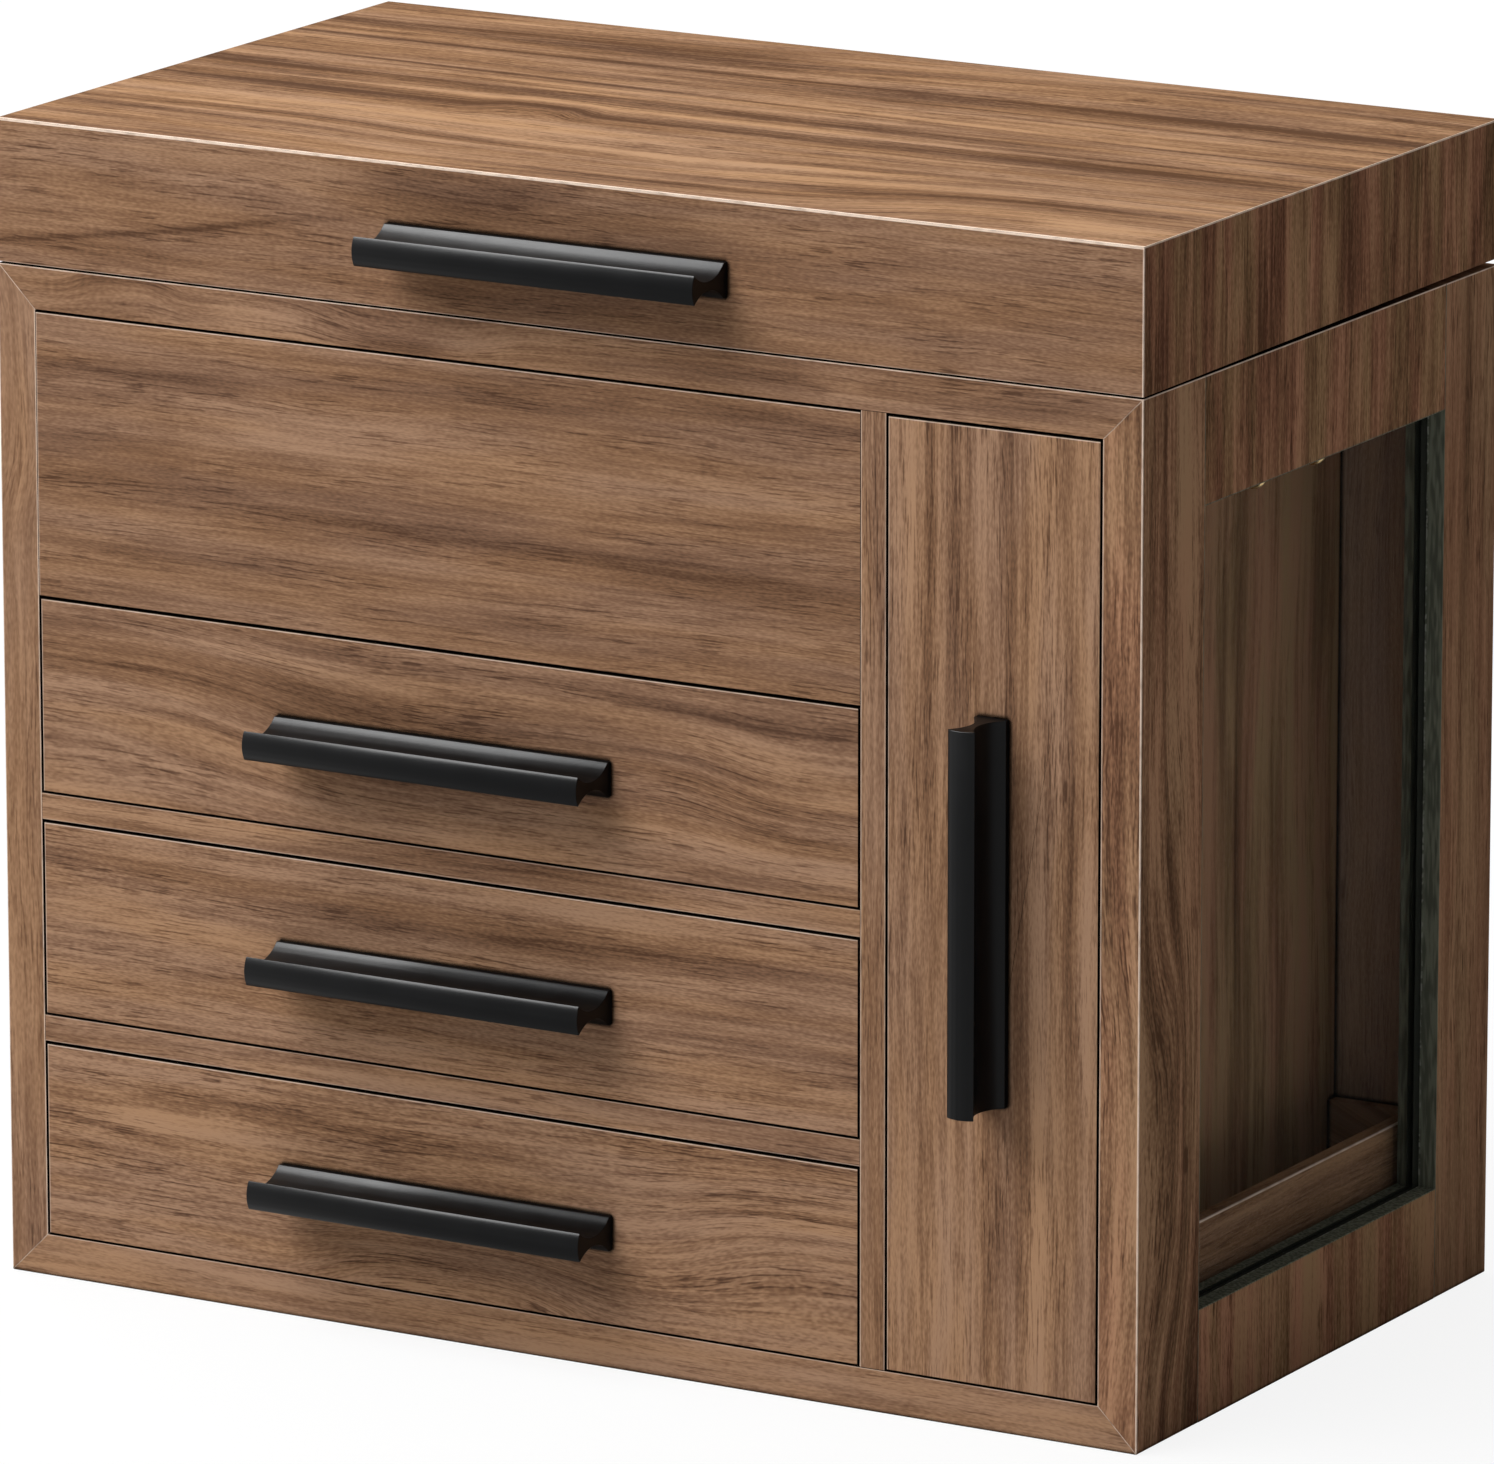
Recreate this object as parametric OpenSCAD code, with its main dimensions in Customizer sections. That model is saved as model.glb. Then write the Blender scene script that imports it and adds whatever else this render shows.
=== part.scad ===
// Vanity and jewellery box: a mitred board case with three drawers and a necklace
// pull-out behind a side window, under a mitred lid with a mirror inside it.
// Lengths are in millimetres. X runs to the right, Y to the rear and Z up.
// The origin is the middle of the case's underside.

/* [Case] */
// Width of the case and the lid
case_w = 300; // [270:1:360]
// Depth of the case and the lid, front face to rear face
case_d = 171; // [160:1:220]
// Height of the case without the lid
case_h = 241; // [230:1:280]
// Thickness of the case, lid and front boards
board_t = 10; // [9:0.5:12]
// Thickness of the upright divider and the two shelves
shelf_t = 6.5; // [5:0.5:8]
// Clear width of the bay for the necklace pull-out
bay_w = 54.7; // [52:0.1:64]
// Clear height of each drawer opening
drawer_open_h = 46.8; // [42:0.2:50]
// Gap beside and above a drawer front or the pull-out front
reveal = 0.5; // [0.3:0.1:0.7]
// Height of a drawer or the pull-out above the board it slides on
slide_gap = 0.3; // [0.2:0.05:0.4]
// Gap above the fixed front panel
panel_gap = 0.4; // [0.2:0.1:0.8]
// Glue line between boards that share a node
glue_gap = 0.05; // [0.03:0.01:0.1]

/* [Deep compartment] */
// How far the top board reaches in over the compartment walls
rim_w = 8; // [4:0.5:12]
// Corner radius of the opening in the top board
rim_r = 5; // [2:0.5:8]
// Thickness of the compartment floor
well_floor_t = 4; // [3:0.5:6]
// Depth of the front row of cells
well_front_cell = 48; // [35:1:60]
// Height of the partitions in the compartment
well_divider_h = 40; // [25:1:48]

/* [Window] */
// Width of the stile in front of the window
stile_front_w = 29; // [22:0.5:36]
// Width of the stile behind the window
stile_rear_w = 26; // [20:0.5:34]
// Height of the rail under the window
rail_low_h = 26.5; // [20:0.5:34]
// Height of the rail over the window
rail_high_h = 29.5; // [22:0.5:36]
// Thickness of the window pane
pane_t = 1.6; // [1.2:0.1:2.5]
// Distance of the pane behind the outer face
pane_inset = 4.6; // [4.3:0.1:5.5]
// Depth of the groove that holds the pane
pane_groove = 3; // [2:0.5:5]
// Clearance of the pane in its groove
pane_clear = 0.1; // [0.05:0.01:0.2]

/* [Lid] */
// Height of the lid at its front
lid_h = 33.6; // [30:0.2:42]
// Furthest opening of the lid in degrees, set by the hinge heels
lid_open = 95; // [90:1:97]
// Radius of the lid bumpers
bumper_r = 2.5; // [2:0.1:3.5]
// Depth of the seats for the lid bumpers
bumper_seat = 0.8; // [0.5:0.1:1.5]
// Height of a bumper above the case
bumper_proud = 0.3; // [0.2:0.05:0.6]
// Distance of a bumper from the side of the case
bumper_x = 20; // [15:1:40]
// Clearance between a bumper and the closed lid
bumper_clear = 0.1; // [0.05:0.01:0.2]
// Clearance round a bumper in its seat
bumper_fit = 0.1; // [0.05:0.01:0.2]
// Thickness of the mirror glass
mirror_t = 3; // [2:0.5:4]
// Width of the frame round the mirror
mirror_frame_w = 12; // [9:0.5:18]
// Thickness of the frame round the mirror
mirror_frame_t = 6; // [5.5:0.5:9]
// Width of the mirror glass held behind the frame
mirror_hold = 3; // [2:0.5:4]
// Bevel along the inner edge of the mirror frame
mirror_bevel = 1.5; // [0.5:0.1:2]

/* [Lid hinges] */
// Length of a hinge
hinge_l = 38; // [30:1:50]
// Distance of a hinge's middle from the side of the case
hinge_inset = 60; // [40:1:80]
// Width of a hinge leaf on its board
leaf_w = 8.5; // [7:0.5:8.5]
// Thickness of a hinge leaf, which sets the gap at the rear of the lid
leaf_t = 0.65; // [0.5:0.05:1]
// Gap between the closed leaves
leaf_gap = 0.1; // [0.05:0.01:0.2]
// Radius of the hinge barrel
barrel_r = 2; // [1.8:0.1:2.5]
// Radius of the hinge pin
pin_r = 1; // [0.8:0.05:1.2]
// Radial clearance of the pin in the barrel
pin_clear = 0.03; // [0.02:0.01:0.06]
// Clearance between the knuckles and round the barrel
knuckle_clear = 0.1; // [0.05:0.01:0.2]
// Distance of the barrel behind the rear face
barrel_clear = 0.2; // [0.15:0.05:0.5]
// Thickness of the heels that stop the lid
heel_t = 1; // [0.8:0.1:1]
// Reach of the heels beyond the barrel
heel_l = 2.2; // [1.5:0.1:2.4]
// Radius of a hinge screw's shank
hinge_screw_r = 0.9; // [0.7:0.05:1.1]
// Radius of a hinge screw's head
hinge_head_r = 1.7; // [1.5:0.05:2]
// Length of a hinge screw in the wood
hinge_screw_l = 6; // [4:0.5:7]
// Distance between the two screws of a leaf
hinge_screw_pitch = 22; // [15:0.5:24]

/* [Pulls] */
// Length of a pull
pull_l = 89; // [76:1:120]
// Height of a pull at its flange
pull_h = 8.2; // [7:0.1:10]
// Depth of a pull, flange to nose
pull_d = 15.4; // [14:0.1:18]
// Thickness of a pull at its waist
pull_waist = 2.1; // [1.8:0.1:3]
// Radius of the two hollows above and below the waist
pull_hollow_r = 9.15; // [8.5:0.05:11]
// Distance of the waist from the flange
pull_waist_at = 8.2; // [7.5:0.1:9]
// Radius of the rounded nose
pull_nose_r = 6.3; // [5.5:0.1:8]
// Distance between the two screws of a pull
pull_pitch = 64; // [50:1:64]
// Height of a pull below the middle of its front
pull_drop = 1.3; // [0:0.1:4]
// Radius of a pull screw
pull_screw_r = 1.5; // [1.2:0.05:1.5]
// Depth of the tapped hole in a pull
pull_tap = 4; // [3:0.1:4]
// Clearance round a pull screw in its tapped hole
tap_clear = 0.04; // [0.02:0.01:0.05]
// Clearance round a pull screw in its board
hole_clear = 0.2; // [0.1:0.05:0.4]
// Radius of a pull screw's head
pull_head_r = 3; // [2.6:0.1:3.4]
// Thickness of a pull screw's head
pull_head_t = 2.2; // [1.6:0.1:2.4]
// Depth of the counterbore behind a front board
counterbore = 2.5; // [2.5:0.1:4]

/* [Drawers] */
// Thickness of the drawer sides and back
wall_t = 5; // [4:0.5:6]
// Headroom above the drawer sides
headroom = 4.5; // [2:0.5:8]
// Clearance beside a drawer's sides
drawer_side_gap = 0.8; // [0.6:0.1:1.2]
// Clearance behind a drawer and behind the pull-out
rear_gap = 0.3; // [0.2:0.05:0.5]
// Thickness of a drawer bottom
bottom_t = 3; // [2.5:0.1:4]
// Height of a drawer bottom above the lower edge of the sides
bottom_up = 2; // [1.5:0.1:4]
// Depth of the grooves that hold a drawer bottom
bottom_groove = 2; // [1:0.1:2.5]
// Clearance of a drawer bottom in its grooves
bottom_clear = 0.1; // [0.05:0.01:0.2]
// Thickness of a lining
lining_t = 1.2; // [0.8:0.1:2]
// Thickness of a pad on a floor
pad_t = 1.5; // [1:0.1:2.5]
// Height of a wall left bare above its lining
lining_drop = 1.5; // [0.5:0.1:4]
// Clearance between linings, pads and partitions
soft_gap = 0.3; // [0.2:0.05:0.5]
// Thickness of a partition
partition_t = 3; // [2:0.1:4]
// Clearance in the crossing slots of partitions
slot_clear = 0.1; // [0.05:0.01:0.2]
// Height of the partitions in a drawer
partition_h = 28; // [20:1:32]
// Width of the ring rolls in the upper drawer
roll_l = 96; // [60:1:120]
// Number of ring rolls
rolls = 8; // [6:1:9]
// Height of the ring rolls
roll_h = 21; // [16:0.5:26]
// Gap between two ring rolls
roll_gap = 0.6; // [0.4:0.1:1.2]
// Number of cells across the middle drawer
middle_cells = 4; // [2:1:6]

/* [Necklace pull-out] */
// Clearance beside the pull-out's base and top
tray_side_gap = 1.2; // [0.8:0.1:2]
// Thickness of the pull-out's base
tray_base_t = 6; // [4:0.5:8]
// Thickness of the pull-out's top board
tray_top_t = 6; // [5.5:0.5:8]
// Clearance above the pull-out's top board
tray_top_gap = 0.5; // [0.3:0.1:1]
// Thickness of the lips along the sides of the base
lip_t = 3.6; // [3:0.1:5]
// Thickness of the lip across the rear of the base
lip_rear_t = 3; // [2.5:0.1:5]
// Height of the lips above the base
lip_h = 24; // [15:0.5:40]
// Thickness of the spine board
spine_t = 5; // [4:0.5:7]

/* [Hooks] */
// Number of hooks on each side of the spine
hooks_side = 4; // [2:1:5]
// Distance between two hooks
hook_pitch = 29; // [22:0.5:32]
// How far the row of hooks sits in front of the middle of the pull-out
hook_forward = 2; // [0:0.5:8]
// Radius of the hook wire
hook_wire_r = 1; // [0.8:0.05:1.2]
// Radius of a hook's bend at the middle of the wire
hook_bend_r = 3; // [2.5:0.1:3.6]
// Depth of a hook below the top board
hook_drop = 25.2; // [20:0.1:32]
// Turn of a hook's bend in degrees
hook_turn = 205; // [170:1:230]
// Radius of a hook's shank
hook_shank_r = 1.15; // [0.9:0.05:1.3]
// Length of a hook's thread in the top board
hook_thread = 5; // [3:0.1:5]
// Clearance round a hook's thread
hook_clear = 0.05; // [0.03:0.01:0.1]
// Radius of the collar under the top board
collar_r = 3.2; // [2.6:0.1:4]
// Thickness of the collar
collar_t = 1.2; // [0.8:0.1:2]
// Radius of the ball at the tip of a hook
tip_r = 1.35; // [1.25:0.05:1.6]

/* [Hidden] */
$fn = 64;
walnut = [0.45, 0.31, 0.22];
walnut_light = [0.52, 0.37, 0.26];
walnut_dark = [0.33, 0.22, 0.16];
black = [0.08, 0.08, 0.09];
steel = [0.66, 0.67, 0.69];
brass = [0.80, 0.62, 0.30];
velvet = [0.80, 0.73, 0.64];
clear_glass = [0.75, 0.85, 0.85, 0.35];
mirror_silver = [0.80, 0.84, 0.87];
rubber_grey = [0.35, 0.35, 0.36];

// How far a cut runs out past the face that it opens
over = 1;

// Inner faces of the case
inner_l = board_t;
inner_r = case_w - board_t;
inner_b = board_t;
inner_t = case_h - board_t;
back_y = case_d - board_t;
divider_r = inner_r - bay_w;
divider_l = divider_r - shelf_t;

// Underside of each drawer opening, counted from the lowest, and of the fixed panel
function opening_z(i) = inner_b + i * (drawer_open_h + shelf_t);
panel_z = opening_z(2) + drawer_open_h;
well_z = panel_z + well_floor_t;

// The window
window_y0 = stile_front_w;
window_y1 = case_d - stile_rear_w;
window_z0 = rail_low_h;
window_z1 = case_h - rail_high_h;
pane_x1 = case_w - pane_inset;
pane_x0 = pane_x1 - pane_t;

// The lid: gaps under its front and rear, and its top
lid_gap_front = bumper_proud + bumper_clear;
lid_gap_rear = 2 * leaf_t + leaf_gap;
lid_z0 = case_h + lid_gap_front;
lid_z1 = case_h + lid_gap_rear;
lid_top_z = lid_z0 + lid_h;
lid_under = lid_top_z - board_t;
frame_gap = 0.2;

// The hinges' axis, and where the heel on the case meets the heel on the lid
pivot_y = case_d + barrel_clear + barrel_r;
pivot_z = case_h + lid_gap_rear / 2;
heel_end = barrel_r + heel_l;
stop_gap = 0.1;
heel_face = heel_end * cos(lid_open) - heel_t / 2 * sin(lid_open) - stop_gap;
knuckles = 5;
hinge_at = [hinge_inset, case_w - hinge_inset];

// Drawer fronts and boxes
front_l = inner_l + reveal;
front_r = divider_l - reveal;
box_l = inner_l + drawer_side_gap;
box_r = divider_l - drawer_side_gap;
box_back = back_y - rear_gap;
box_h = drawer_open_h - slide_gap - headroom;

// Inside of a drawer box, between its linings
cell_l = box_l + wall_t + lining_t + soft_gap;
cell_r = box_r - wall_t - lining_t - soft_gap;
cell_f = board_t + lining_t + soft_gap;
cell_b = box_back - wall_t - lining_t - soft_gap;
function floor_z(i) = opening_z(i) + slide_gap + bottom_up + bottom_t;
roll_pitch = (cell_b - cell_f + roll_gap) / rolls;

// Inside of the deep compartment, between its linings
well_l = inner_l + lining_t + soft_gap;
well_r = divider_l - lining_t - soft_gap;
well_f = board_t + lining_t + soft_gap;
well_b = back_y - lining_t - soft_gap;

// The necklace pull-out
tray_l = divider_r + tray_side_gap;
tray_r = inner_r - tray_side_gap;
tray_back = back_y - rear_gap;
tray_z = inner_b + slide_gap;
tray_floor = tray_z + tray_base_t;
tray_top_z = inner_t - tray_top_gap - tray_top_t;
tray_mid = (tray_l + tray_r) / 2;
hook_out = (spine_t / 2 + (tray_r - lip_t - tray_mid)) / 2;

// Middle of the pull on each front
pull_x = (front_l + front_r) / 2;
pull_out_x = (divider_r + inner_r) / 2;
pull_out_z = (tray_z + inner_t - reveal) / 2;
lid_pull_z = (lid_z0 + lid_top_z) / 2 - pull_drop;
function pull_z(i) = opening_z(i) + drawer_open_h / 2 - pull_drop;

// Moves what is measured from the front left bottom corner into the part's frame
module from_corner() {
    translate([-case_w / 2, -case_d / 2, 0]) children();
}

// A board between two opposite corners
module block(low, high) {
    translate(low) cube(high - low);
}

// Draws a profile in X and Z out along Y
module along_y(y0, y1) {
    translate([0, y1, 0]) rotate([90, 0, 0]) linear_extrude(y1 - y0) children();
}

// Draws a profile in Y and Z out along X
module along_x(x0, x1) {
    translate([x0, 0, 0]) rotate([90, 0, 90]) linear_extrude(x1 - x0) children();
}

// A cylinder along Y, and one along X
module rod_y(x, z, y0, y1, r) {
    translate([x, y1, z]) rotate([90, 0, 0]) cylinder(h = y1 - y0, r = r);
}
module rod_x(y, z, x0, x1, r) {
    translate([x0, y, z]) rotate([0, 90, 0]) cylinder(h = x1 - x0, r = r);
}

// Outline of a board with both ends mitred, long edge from 0 to l, short edge in at t
module mitred(l, t) {
    polygon([[0, 0], [l, 0], [l - t, t], [t, t]]);
}

// The profile of one side board of the case, from z0 to z1
module side_profile(z0, z1) {
    intersection() {
        polygon([[0, 0], [board_t, board_t], [board_t, inner_t], [0, case_h]]);
        translate([0, z0]) square([board_t, z1 - z0]);
    }
}

// Case

module left_side() {
    color(walnut) from_corner() along_y(0, case_d) side_profile(0, case_h);
}

// One board of the right side, mirrored over from the left
module right_board(y0, y1, z0, z1) {
    translate([case_w, 0, 0]) mirror([1, 0, 0]) along_y(y0, y1) side_profile(z0, z1);
}

// The groove round the window that holds the pane
module pane_slot() {
    block(
        [pane_x0 - pane_clear, window_y0 - pane_groove, window_z0 - pane_groove],
        [pane_x1 + pane_clear, window_y1 + pane_groove, window_z1 + pane_groove]
    );
}

module right_stiles() {
    color(walnut) from_corner() difference() {
        union() {
            right_board(0, window_y0, 0, case_h);
            right_board(window_y1, case_d, 0, case_h);
        }
        pane_slot();
    }
}

module right_rails() {
    color(walnut) from_corner() difference() {
        union() {
            right_board(window_y0, window_y1, 0, window_z0);
            right_board(window_y0, window_y1, window_z1, case_h);
        }
        pane_slot();
    }
}

module window_pane() {
    edge = pane_groove - pane_clear;
    color(clear_glass) from_corner() block(
        [pane_x0, window_y0 - edge, window_z0 - edge],
        [pane_x1, window_y1 + edge, window_z1 + edge]
    );
}

// The opening over the deep compartment, with rounded corners
module rim_cut() {
    x = [inner_l + rim_w, divider_l - rim_w];
    y = [board_t + rim_w, back_y - rim_w];
    z0 = inner_t - over;
    z1 = case_h + over;
    block([x[0] + rim_r, y[0], z0], [x[1] - rim_r, y[1], z1]);
    block([x[0], y[0] + rim_r, z0], [x[1], y[1] - rim_r, z1]);
    for (cx = [x[0] + rim_r, x[1] - rim_r], cy = [y[0] + rim_r, y[1] - rim_r])
        translate([cx, cy, z0]) cylinder(h = z1 - z0, r = rim_r);
}

module bumper_places() {
    for (x = [bumper_x, case_w - bumper_x]) translate([x, board_t / 2, 0]) children();
}

module top_board() {
    color(walnut) from_corner() difference() {
        along_y(0, case_d) translate([0, case_h]) mirror([0, 1]) mitred(case_w, board_t);
        rim_cut();
        bumper_places() translate([0, 0, case_h - bumper_seat])
            cylinder(h = board_t, r = bumper_r + bumper_fit);
        case_leaf_screw_places() screw_hole();
    }
}

module bottom_board() {
    color(walnut) from_corner() along_y(0, case_d) mitred(case_w, board_t);
}

module back_board() {
    color(walnut_dark) from_corner() block([inner_l, back_y, inner_b], [inner_r, case_d, inner_t]);
}

module divider() {
    color(walnut) from_corner() block([divider_l, 0, inner_b], [divider_r, back_y, inner_t]);
}

module shelf(i) {
    top = opening_z(i + 1);
    color(walnut_light) from_corner() block([inner_l, 0, top - shelf_t], [divider_l, back_y, top]);
}
module upper_shelf() { shelf(1); }
module lower_shelf() { shelf(0); }

module compartment_floor() {
    color(walnut_dark) from_corner() block([inner_l, board_t, panel_z], [divider_l, back_y, well_z]);
}

module fixed_front() {
    color(walnut) from_corner() block([inner_l, 0, panel_z], [divider_l, board_t, inner_t - panel_gap]);
}

module lid_bumpers() {
    color(rubber_grey) from_corner() bumper_places()
        translate([0, 0, case_h - bumper_seat]) cylinder(h = bumper_seat + bumper_proud, r = bumper_r);
}

// Linings and partitions

// A floor pad and four wall linings in a space from low to high
module lining(low, high) {
    wall_z = low[2] + pad_t + soft_gap;
    block(low, [high[0], high[1], low[2] + pad_t]);
    for (y = [low[1], high[1] - lining_t]) block([low[0], y, wall_z], [high[0], y + lining_t, high[2]]);
    for (x = [low[0], high[0] - lining_t]) block(
        [x, low[1] + lining_t + glue_gap, wall_z],
        [x + lining_t, high[1] - lining_t - glue_gap, high[2]]
    );
}

// A partition along X or Y, halved where others cross it, with the slots open upward
// or downward
module partition_x(x0, x1, y, z0, h, crossings, up) {
    difference() {
        block([x0, y, z0], [x1, y + partition_t, z0 + h]);
        for (x = crossings) translate([x, y, z0]) crossing_slot(h, up);
    }
}
module partition_y(y0, y1, x, z0, h, crossings, up) {
    difference() {
        block([x, y0, z0], [x + partition_t, y1, z0 + h]);
        for (y = crossings) translate([x, y, z0]) crossing_slot(h, up);
    }
}

// The slot for one crossing, cut half the height and a little wider than a partition
module crossing_slot(h, up) {
    w = partition_t + 2 * slot_clear;
    translate([-slot_clear, -slot_clear, up ? h / 2 - slot_clear : -over])
        cube([w, w, h / 2 + slot_clear + over]);
}

module compartment_lining() {
    color(velvet) from_corner() lining([inner_l, board_t, well_z], [divider_l, back_y, inner_t]);
}

// A long partition with three cells in front of it and one wide cell behind it
module compartment_partitions() {
    z = well_z + pad_t + soft_gap;
    long_y = well_f + well_front_cell;
    third = (well_r - well_l - 2 * partition_t) / 3;
    color(velvet) from_corner() {
        partition_x(well_l, well_r, long_y, z, well_divider_h, [], true);
        for (k = [1, 2]) partition_y(
            well_f, long_y - soft_gap, well_l + k * third + (k - 1) * partition_t, z, well_divider_h, [], true
        );
    }
}

// Pulls and their screws

// The profile of a pull: flange, two hollows that meet in a waist, and a rounded nose
module pull_profile() {
    nose = pull_d - pull_nose_r;
    difference() {
        union() {
            translate([-nose, -pull_h / 2]) square([nose, pull_h]);
            intersection() {
                translate([-nose, 0]) circle(r = pull_nose_r);
                translate([-pull_d, -pull_h / 2]) square([pull_d, pull_h]);
            }
        }
        for (side = [-1, 1]) translate([-pull_waist_at, side * (pull_waist / 2 + pull_hollow_r)])
            circle(r = pull_hollow_r);
    }
}

// A pull whose middle lies on the front face at the origin, along X
module pull() {
    difference() {
        along_x(-pull_l / 2, pull_l / 2) pull_profile();
        for (x = [-1, 1]) rod_y(x * pull_pitch / 2, 0, -pull_tap, over, pull_screw_r + tap_clear);
    }
}

// The two screws of a pull, and the holes they need in a front board
module pull_screws() {
    seat = board_t - counterbore;
    for (x = [-1, 1]) {
        rod_y(x * pull_pitch / 2, 0, -pull_tap + tap_clear, seat, pull_screw_r);
        rod_y(x * pull_pitch / 2, 0, seat, seat + pull_head_t, pull_head_r);
    }
}
module pull_holes() {
    seat = board_t - counterbore;
    for (x = [-1, 1]) {
        rod_y(x * pull_pitch / 2, 0, -over, board_t + over, pull_screw_r + hole_clear);
        rod_y(x * pull_pitch / 2, 0, seat, board_t + over, pull_head_r + hole_clear);
    }
}

module at_drawer_pull(i) { translate([pull_x, 0, pull_z(i)]) children(); }
module at_lid_pull() { translate([case_w / 2, 0, lid_pull_z]) children(); }
module at_pull_out_pull() { translate([pull_out_x, 0, pull_out_z]) rotate([0, 90, 0]) children(); }

// Drawers, counted from the lowest

module drawer_front(i) {
    z = opening_z(i);
    groove_z = floor_z(i) - bottom_t;
    color(walnut) from_corner() difference() {
        block([front_l, 0, z + slide_gap], [front_r, board_t, z + drawer_open_h - reveal]);
        block(
            [box_l + wall_t - bottom_groove, board_t - bottom_groove, groove_z - bottom_clear],
            [box_r - wall_t + bottom_groove, board_t + over, groove_z + bottom_t + bottom_clear]
        );
        at_drawer_pull(i) pull_holes();
    }
}

module drawer_walls(i) {
    z0 = opening_z(i) + slide_gap;
    z1 = z0 + box_h;
    groove_z = floor_z(i) - bottom_t;
    color(walnut_dark) from_corner() difference() {
        union() {
            block([box_l, board_t, z0], [box_l + wall_t, box_back, z1]);
            block([box_r - wall_t, board_t, z0], [box_r, box_back, z1]);
            block(
                [box_l + wall_t + glue_gap, box_back - wall_t, z0],
                [box_r - wall_t - glue_gap, box_back, z1]
            );
        }
        block(
            [box_l + wall_t - bottom_groove, 0, groove_z - bottom_clear],
            [
                box_r - wall_t + bottom_groove,
                box_back - wall_t + bottom_groove,
                groove_z + bottom_t + bottom_clear
            ]
        );
    }
}

module drawer_bottom(i) {
    edge = bottom_groove - bottom_clear;
    color(walnut_dark) from_corner() block(
        [box_l + wall_t - edge, board_t - edge, floor_z(i) - bottom_t],
        [box_r - wall_t + edge, box_back - wall_t + edge, floor_z(i)]
    );
}

module drawer_lining(i) {
    color(velvet) from_corner() lining(
        [box_l + wall_t, board_t, floor_z(i) + bottom_clear],
        [box_r - wall_t, box_back - wall_t, opening_z(i) + slide_gap + box_h - lining_drop]
    );
}

module drawer_pull(i) { color(black) from_corner() at_drawer_pull(i) pull(); }
module drawer_pull_screws(i) { color(steel) from_corner() at_drawer_pull(i) pull_screws(); }

module upper_drawer_front() { drawer_front(2); }
module upper_drawer_walls() { drawer_walls(2); }
module upper_drawer_bottom() { drawer_bottom(2); }
module upper_drawer_lining() { drawer_lining(2); }
module upper_drawer_pull() { drawer_pull(2); }
module upper_drawer_pull_screws() { drawer_pull_screws(2); }
module middle_drawer_front() { drawer_front(1); }
module middle_drawer_walls() { drawer_walls(1); }
module middle_drawer_bottom() { drawer_bottom(1); }
module middle_drawer_lining() { drawer_lining(1); }
module middle_drawer_pull() { drawer_pull(1); }
module middle_drawer_pull_screws() { drawer_pull_screws(1); }
module lower_drawer_front() { drawer_front(0); }
module lower_drawer_walls() { drawer_walls(0); }
module lower_drawer_bottom() { drawer_bottom(0); }
module lower_drawer_lining() { drawer_lining(0); }
module lower_drawer_pull() { drawer_pull(0); }
module lower_drawer_pull_screws() { drawer_pull_screws(0); }

// Top of the floor pad in a drawer
function pad_z(i) = floor_z(i) + bottom_clear + pad_t + soft_gap;

// The profile of a ring roll: straight sides under a round top
module roll_profile(w) {
    translate([0, 0]) square([w, roll_h - w / 2]);
    translate([w / 2, roll_h - w / 2]) circle(r = w / 2);
}

module upper_drawer_ring_rolls() {
    w = roll_pitch - roll_gap;
    color(velvet) from_corner() for (k = [0:rolls - 1])
        translate([0, cell_f + k * roll_pitch, pad_z(2)])
            along_x(cell_l, cell_l + roll_l) roll_profile(w);
}

// Beside the rolls, four small cells
module upper_drawer_partitions() {
    x0 = cell_l + roll_l + soft_gap;
    mid_x = (x0 + partition_t + cell_r) / 2 - partition_t / 2;
    mid_y = (cell_f + cell_b) / 2 - partition_t / 2;
    color(velvet) from_corner() {
        partition_y(cell_f, cell_b, x0, pad_z(2), partition_h, [], true);
        partition_x(x0 + partition_t + soft_gap, cell_r, mid_y, pad_z(2), partition_h, [mid_x], true);
        partition_y(cell_f, cell_b, mid_x, pad_z(2), partition_h, [mid_y], false);
    }
}

// Two rows of cells
module middle_drawer_partitions() {
    cell_w = (cell_r - cell_l - (middle_cells - 1) * partition_t) / middle_cells;
    across = [for (k = [1:middle_cells - 1]) cell_l + k * cell_w + (k - 1) * partition_t];
    mid_y = (cell_f + cell_b) / 2 - partition_t / 2;
    color(velvet) from_corner() {
        partition_x(cell_l, cell_r, mid_y, pad_z(1), partition_h, across, true);
        for (x = across) partition_y(cell_f, cell_b, x, pad_z(1), partition_h, [mid_y], false);
    }
}

// Necklace pull-out

module pull_out_front() {
    color(walnut) from_corner() difference() {
        block([divider_r + reveal, 0, tray_z], [inner_r - reveal, board_t, inner_t - reveal]);
        at_pull_out_pull() pull_holes();
    }
}

module pull_out_base() {
    color(walnut_dark) from_corner() block([tray_l, board_t, tray_z], [tray_r, tray_back, tray_floor]);
}

module pull_out_lips() {
    top = tray_floor + lip_h;
    color(walnut_light) from_corner() {
        for (x = [tray_l, tray_r - lip_t]) block([x, board_t, tray_floor], [x + lip_t, tray_back, top]);
        for (x = [
            [tray_l + lip_t + glue_gap, tray_mid - spine_t / 2 - glue_gap],
            [tray_mid + spine_t / 2 + glue_gap, tray_r - lip_t - glue_gap]
        ]) block([x[0], tray_back - lip_rear_t, tray_floor], [x[1], tray_back, top]);
    }
}

module pull_out_spine() {
    color(walnut_dark) from_corner() block(
        [tray_mid - spine_t / 2, board_t, tray_floor],
        [tray_mid + spine_t / 2, tray_back, tray_top_z]
    );
}

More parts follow.
